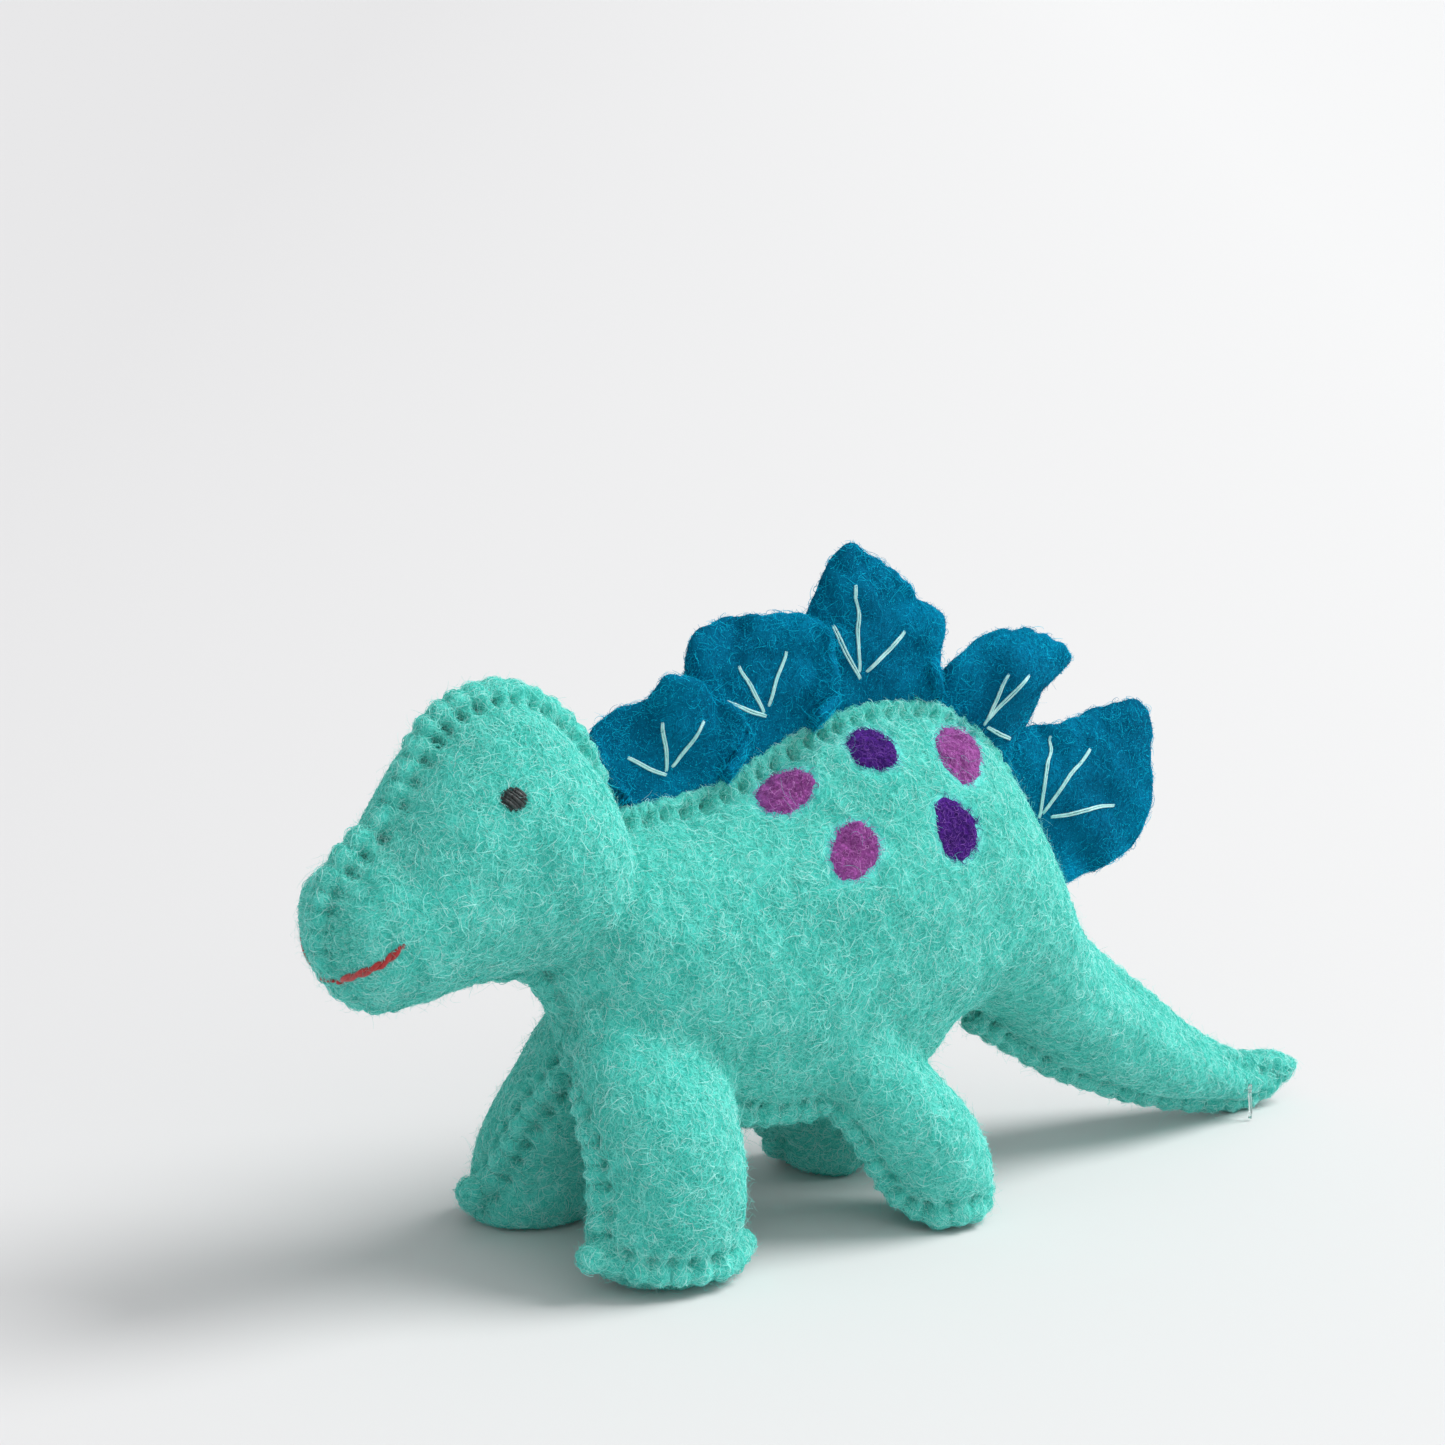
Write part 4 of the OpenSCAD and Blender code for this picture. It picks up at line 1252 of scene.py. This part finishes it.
def strands_on_skin(roots, steps, length, height, curl, lies_down):
    """Fibres along the toy's skin. Each ends at its height off the skin, or lies down again."""
    count = len(roots)
    normal = unit(net.slope_at(roots))
    swirl = np.stack([waves(roots, size, seed) for size, seed in ((30, 21), (26, 22), (28, 23))], -1)
    flow = np.cross(normal, unit(swirl))
    any_way = np.cross(normal, rng.normal(size=(count, 3)))
    way = unit(unit(any_way) + 0.7 * unit(flow))
    turn = curl * rng.normal(size=(count, 1))
    step = (length / (steps - 1))[:, None]
    p = roots - normal * 0.1
    paths = [p]
    for k in range(1, steps):
        turn = turn + 0.35 * curl * rng.normal(size=(count, 1))
        angle = turn * step
        way = unit(way * np.cos(angle) + np.cross(normal, way) * np.sin(angle))
        p = p + way * step
        value = net.at(p)
        normal = unit(net.slope_at(p))
        share = k / (steps - 1)
        aim = height * (math.sin(math.pi * min(1, share * 1.15)) if lies_down else share ** 1.4) + 0.03
        move = aim - value
        p = p + normal * np.clip(move, -1.5, 1.5)[:, None]
        way = unit(way - normal * (way * normal).sum(-1, keepdims=True) * 0.9)
        paths.append(p)
    paths = np.stack(paths, 1)
    paths[..., 2] = np.maximum(paths[..., 2], 0.1)
    return paths


def bare_of_spots(paths):
    """Leaves out the fibres that would lie over a spot."""
    keep = np.ones(len(paths), bool)
    for piece, top, normal, share, wool in spot_pieces:
        centre = top[0]
        reach = np.linalg.norm(top - centre, axis=1).max() + 0.5
        near = np.flatnonzero((np.linalg.norm(paths[:, 2] - centre, axis=1) < reach + 6) & keep)
        inside = top[share < 0.95]
        for at in (0, 2, 4, paths.shape[1] - 1):
            d = paths[near, at][:, None] - inside[None]
            keep[near[(d ** 2).sum(-1).min(1) < 0.45 ** 2]] = False
    return paths[keep]


# Kinds of fibre: how many, least and greatest length, least height and what may be added to it, points,
# turning, whether it lies down again at its end, radius, wool, whether it may cross a spot
FIBRES = {
    "body fuzz": (190000, 1.6, 5.0, 0.15, 0.4, 6, 0.45, True, 0.05, teal_strands, False),
    "body wisps": (15000, 2.0, 5.5, 0.3, 0.5, 6, 0.5, True, 0.062, teal_wisps, False),
    "body halo": (32000, 1.5, 4.5, 0.4, 1.7, 6, 0.6, False, 0.024, teal_strands, False),
    "body stray fibres": (1200, 4.0, 10.0, 1.0, 3.0, 9, 0.5, False, 0.022, teal_strands, True),
}
for name, (count, short, long, low, more, steps, curl, down, radius, wool, crosses) in FIBRES.items():
    roots, _ = scatter(outside_points, outside_quads, count)
    length = rng.uniform(short, long, count)
    height = low + more * rng.random(count) ** 2
    paths = strands_on_skin(roots, steps, length, height, curl, down)
    add_fibres(name, paths if crosses else bare_of_spots(paths), radius, wool, panels["left_panel_felt"])


def strands_on_sheet(place, normal, steps, length, height, curl):
    count = len(place)
    way = unit(np.cross(normal, rng.normal(size=(count, 3))))
    turn = curl * rng.normal(size=(count, 1))
    step = (length / (steps - 1))[:, None]
    p = place - normal * 0.1
    paths = [p]
    for k in range(1, steps):
        turn = turn + 0.3 * curl * rng.normal(size=(count, 1))
        way = unit(way * np.cos(turn * step) + np.cross(normal, way) * np.sin(turn * step))
        rise = height * math.sin(math.pi * k / (steps - 1)) ** 0.7
        p = p + way * step
        paths.append(p + normal * rise[:, None])
    return np.stack(paths, 1)


def distance_to(cloud, places):
    """How far each place is from the nearest point of the cloud."""
    tree = KDTree(len(cloud))
    for i, co in enumerate(cloud):
        tree.insert(co, i)
    tree.balance()
    return np.array([tree.find(place)[2] for place in places])


crest_normals = quad_normals(crest_points, crest_faces)
CREST_FUZZ = 42000
place, chosen = scatter(crest_points, crest_faces, CREST_FUZZ)
out = unit(crest_normals[crest_faces[chosen]].mean(1))
paths = strands_on_sheet(place, out, 6, rng.uniform(1.0, 3.6, CREST_FUZZ),
                         0.12 + 0.3 * rng.random(CREST_FUZZ) ** 2, 0.6)
stays = distance_to(crest_points, paths[:, -1]) < 0.75
rim = np.concatenate([np.concatenate([sheet[:, -1], sheet[0, 8:], sheet[-1, 8:]])
                      for flat, sheet, normal, half in plates])
from_rim = distance_to(rim, paths[:, 0])
# Fibres near a plate's rim get the paler blue: painted rim light.
gets_painted_rim_light = from_rim < 0.8 + 8 * rng.random(CREST_FUZZ) ** 1.4
add_fibres("crest fuzz", paths[stays & ~gets_painted_rim_light], 0.05, blue_strands, crest)
add_fibres("crest rim fuzz", paths[stays & gets_painted_rim_light], 0.05, painted_rim_light_strands, crest)
# The halo fibres get the same paler blue, painted rim light.
CREST_HALO = 8000
place, chosen = scatter(crest_points, crest_faces, CREST_HALO)
out = unit(crest_normals[crest_faces[chosen]].mean(1))
way = unit(out + 0.9 * rng.normal(size=out.shape))
share = np.linspace(0, 1, 6)[None, :, None]
reach = (0.3 + 1.3 * rng.random(CREST_HALO) ** 2)[:, None, None]
bend = unit(rng.normal(size=out.shape))[:, None, :]
add_fibres("crest halo", place[:, None] + (way[:, None] * share + bend * share ** 2) * reach, 0.022,
           painted_rim_light_strands, crest)

for piece, top, normal, share, wool in spot_pieces:
    count = 700
    chosen = rng.integers(0, len(top), count * 3)
    chosen = chosen[(rng.random(count * 3) < share[chosen] + 0.1) & (share[chosen] < 0.93)][:count]
    jitter = rng.normal(size=(len(chosen), 3)) * 0.15
    paths = strands_on_sheet(top[chosen] + jitter - normal[chosen] * 0.05, normal[chosen], 7,
                             rng.uniform(0.8, 2.2, len(chosen)), 0.1 + 0.3 * rng.random(len(chosen)), 1.6)
    add_fibres(piece.name + " fibres", paths, 0.06, SPOT_STRANDS[wool], piece)

# ---- Floor, light and camera

PAINTED_LIGHT_ALONG = (1.68, -1.09, 0)  # painted light: the way the paper grows paler towards the key light's side, and how fast to a metre
paper = Shader("pale paper with painted light falloff", 0.9, Specular_IOR_Level=0.1)
across = paper.nodes.new("ShaderNodeVectorMath")
across.operation = "DOT_PRODUCT"
paper.links.new(paper.where(), across.inputs[0])
across.inputs[1].default_value = PAINTED_LIGHT_ALONG
# Painted light: the floor's colour is darker away from the key light and paler towards it.
paper.colour(paper.ramp(paper.math("ADD", across.outputs["Value"], 0.5),
                        [(0.0, (0.64, 0.635, 0.638)), (1.0, (0.745, 0.745, 0.745))]))
corner = 9000.0
add_piece("floor", [(-corner, -corner, 0), (corner, -corner, 0), (corner, corner, 0), (-corner, corner, 0)],
          np.array([[0, 1, 2, 3]]), paper.material, stage=True)

world = bpy.data.worlds.new("studio")
bpy.context.scene.world = world
world.use_nodes = True
sky = world.node_tree.nodes["Background"].inputs
sky["Color"].default_value = (0.97, 0.985, 1.0, 1)
sky["Strength"].default_value = 0.46


def sun(name, towards, spread, strength):
    """Even light from far away, from the given direction."""
    light = bpy.data.lights.new(name, "SUN")
    light.angle = math.radians(spread)
    light.energy = strength
    into_scene(name, light).rotation_euler = Vector(towards).to_track_quat("Z", "Y").to_euler()


sun("key light", (0.82, -0.36, 0.98), 36, 3.0)
sun("front light", (-0.2, -1.0, 0.75), 70, 0.65)

PITCH = 13.05  # degrees below level
ROLL = -0.42
SEEN_ALONG = (0.545, 0.839)  # the way the camera looks, from above
LENS = 119.6
pitch = math.radians(PITCH)
heading = math.atan2(*SEEN_ALONG)
ahead = Vector((math.sin(heading) * math.cos(pitch), math.cos(heading) * math.cos(pitch), -math.sin(pitch)))
right = ahead.cross(Vector((0, 0, 1))).normalized()
up = right.cross(ahead)
turn = Matrix((right, up, -ahead)).transposed().to_4x4()
camera_data = bpy.data.cameras.new("camera")
camera_data.sensor_width = 36
camera_data.lens = LENS
camera_data.clip_end = 50
camera = into_scene("camera", camera_data)
camera.matrix_world = (Matrix.Translation(Vector((VIEWPOINT - (CENTRE_X, 0, 0)) * MM))
                       @ turn @ Matrix.Rotation(math.radians(ROLL), 4, "Z"))
bpy.context.scene.camera = camera
bpy.context.scene.view_settings.view_transform = "Standard"
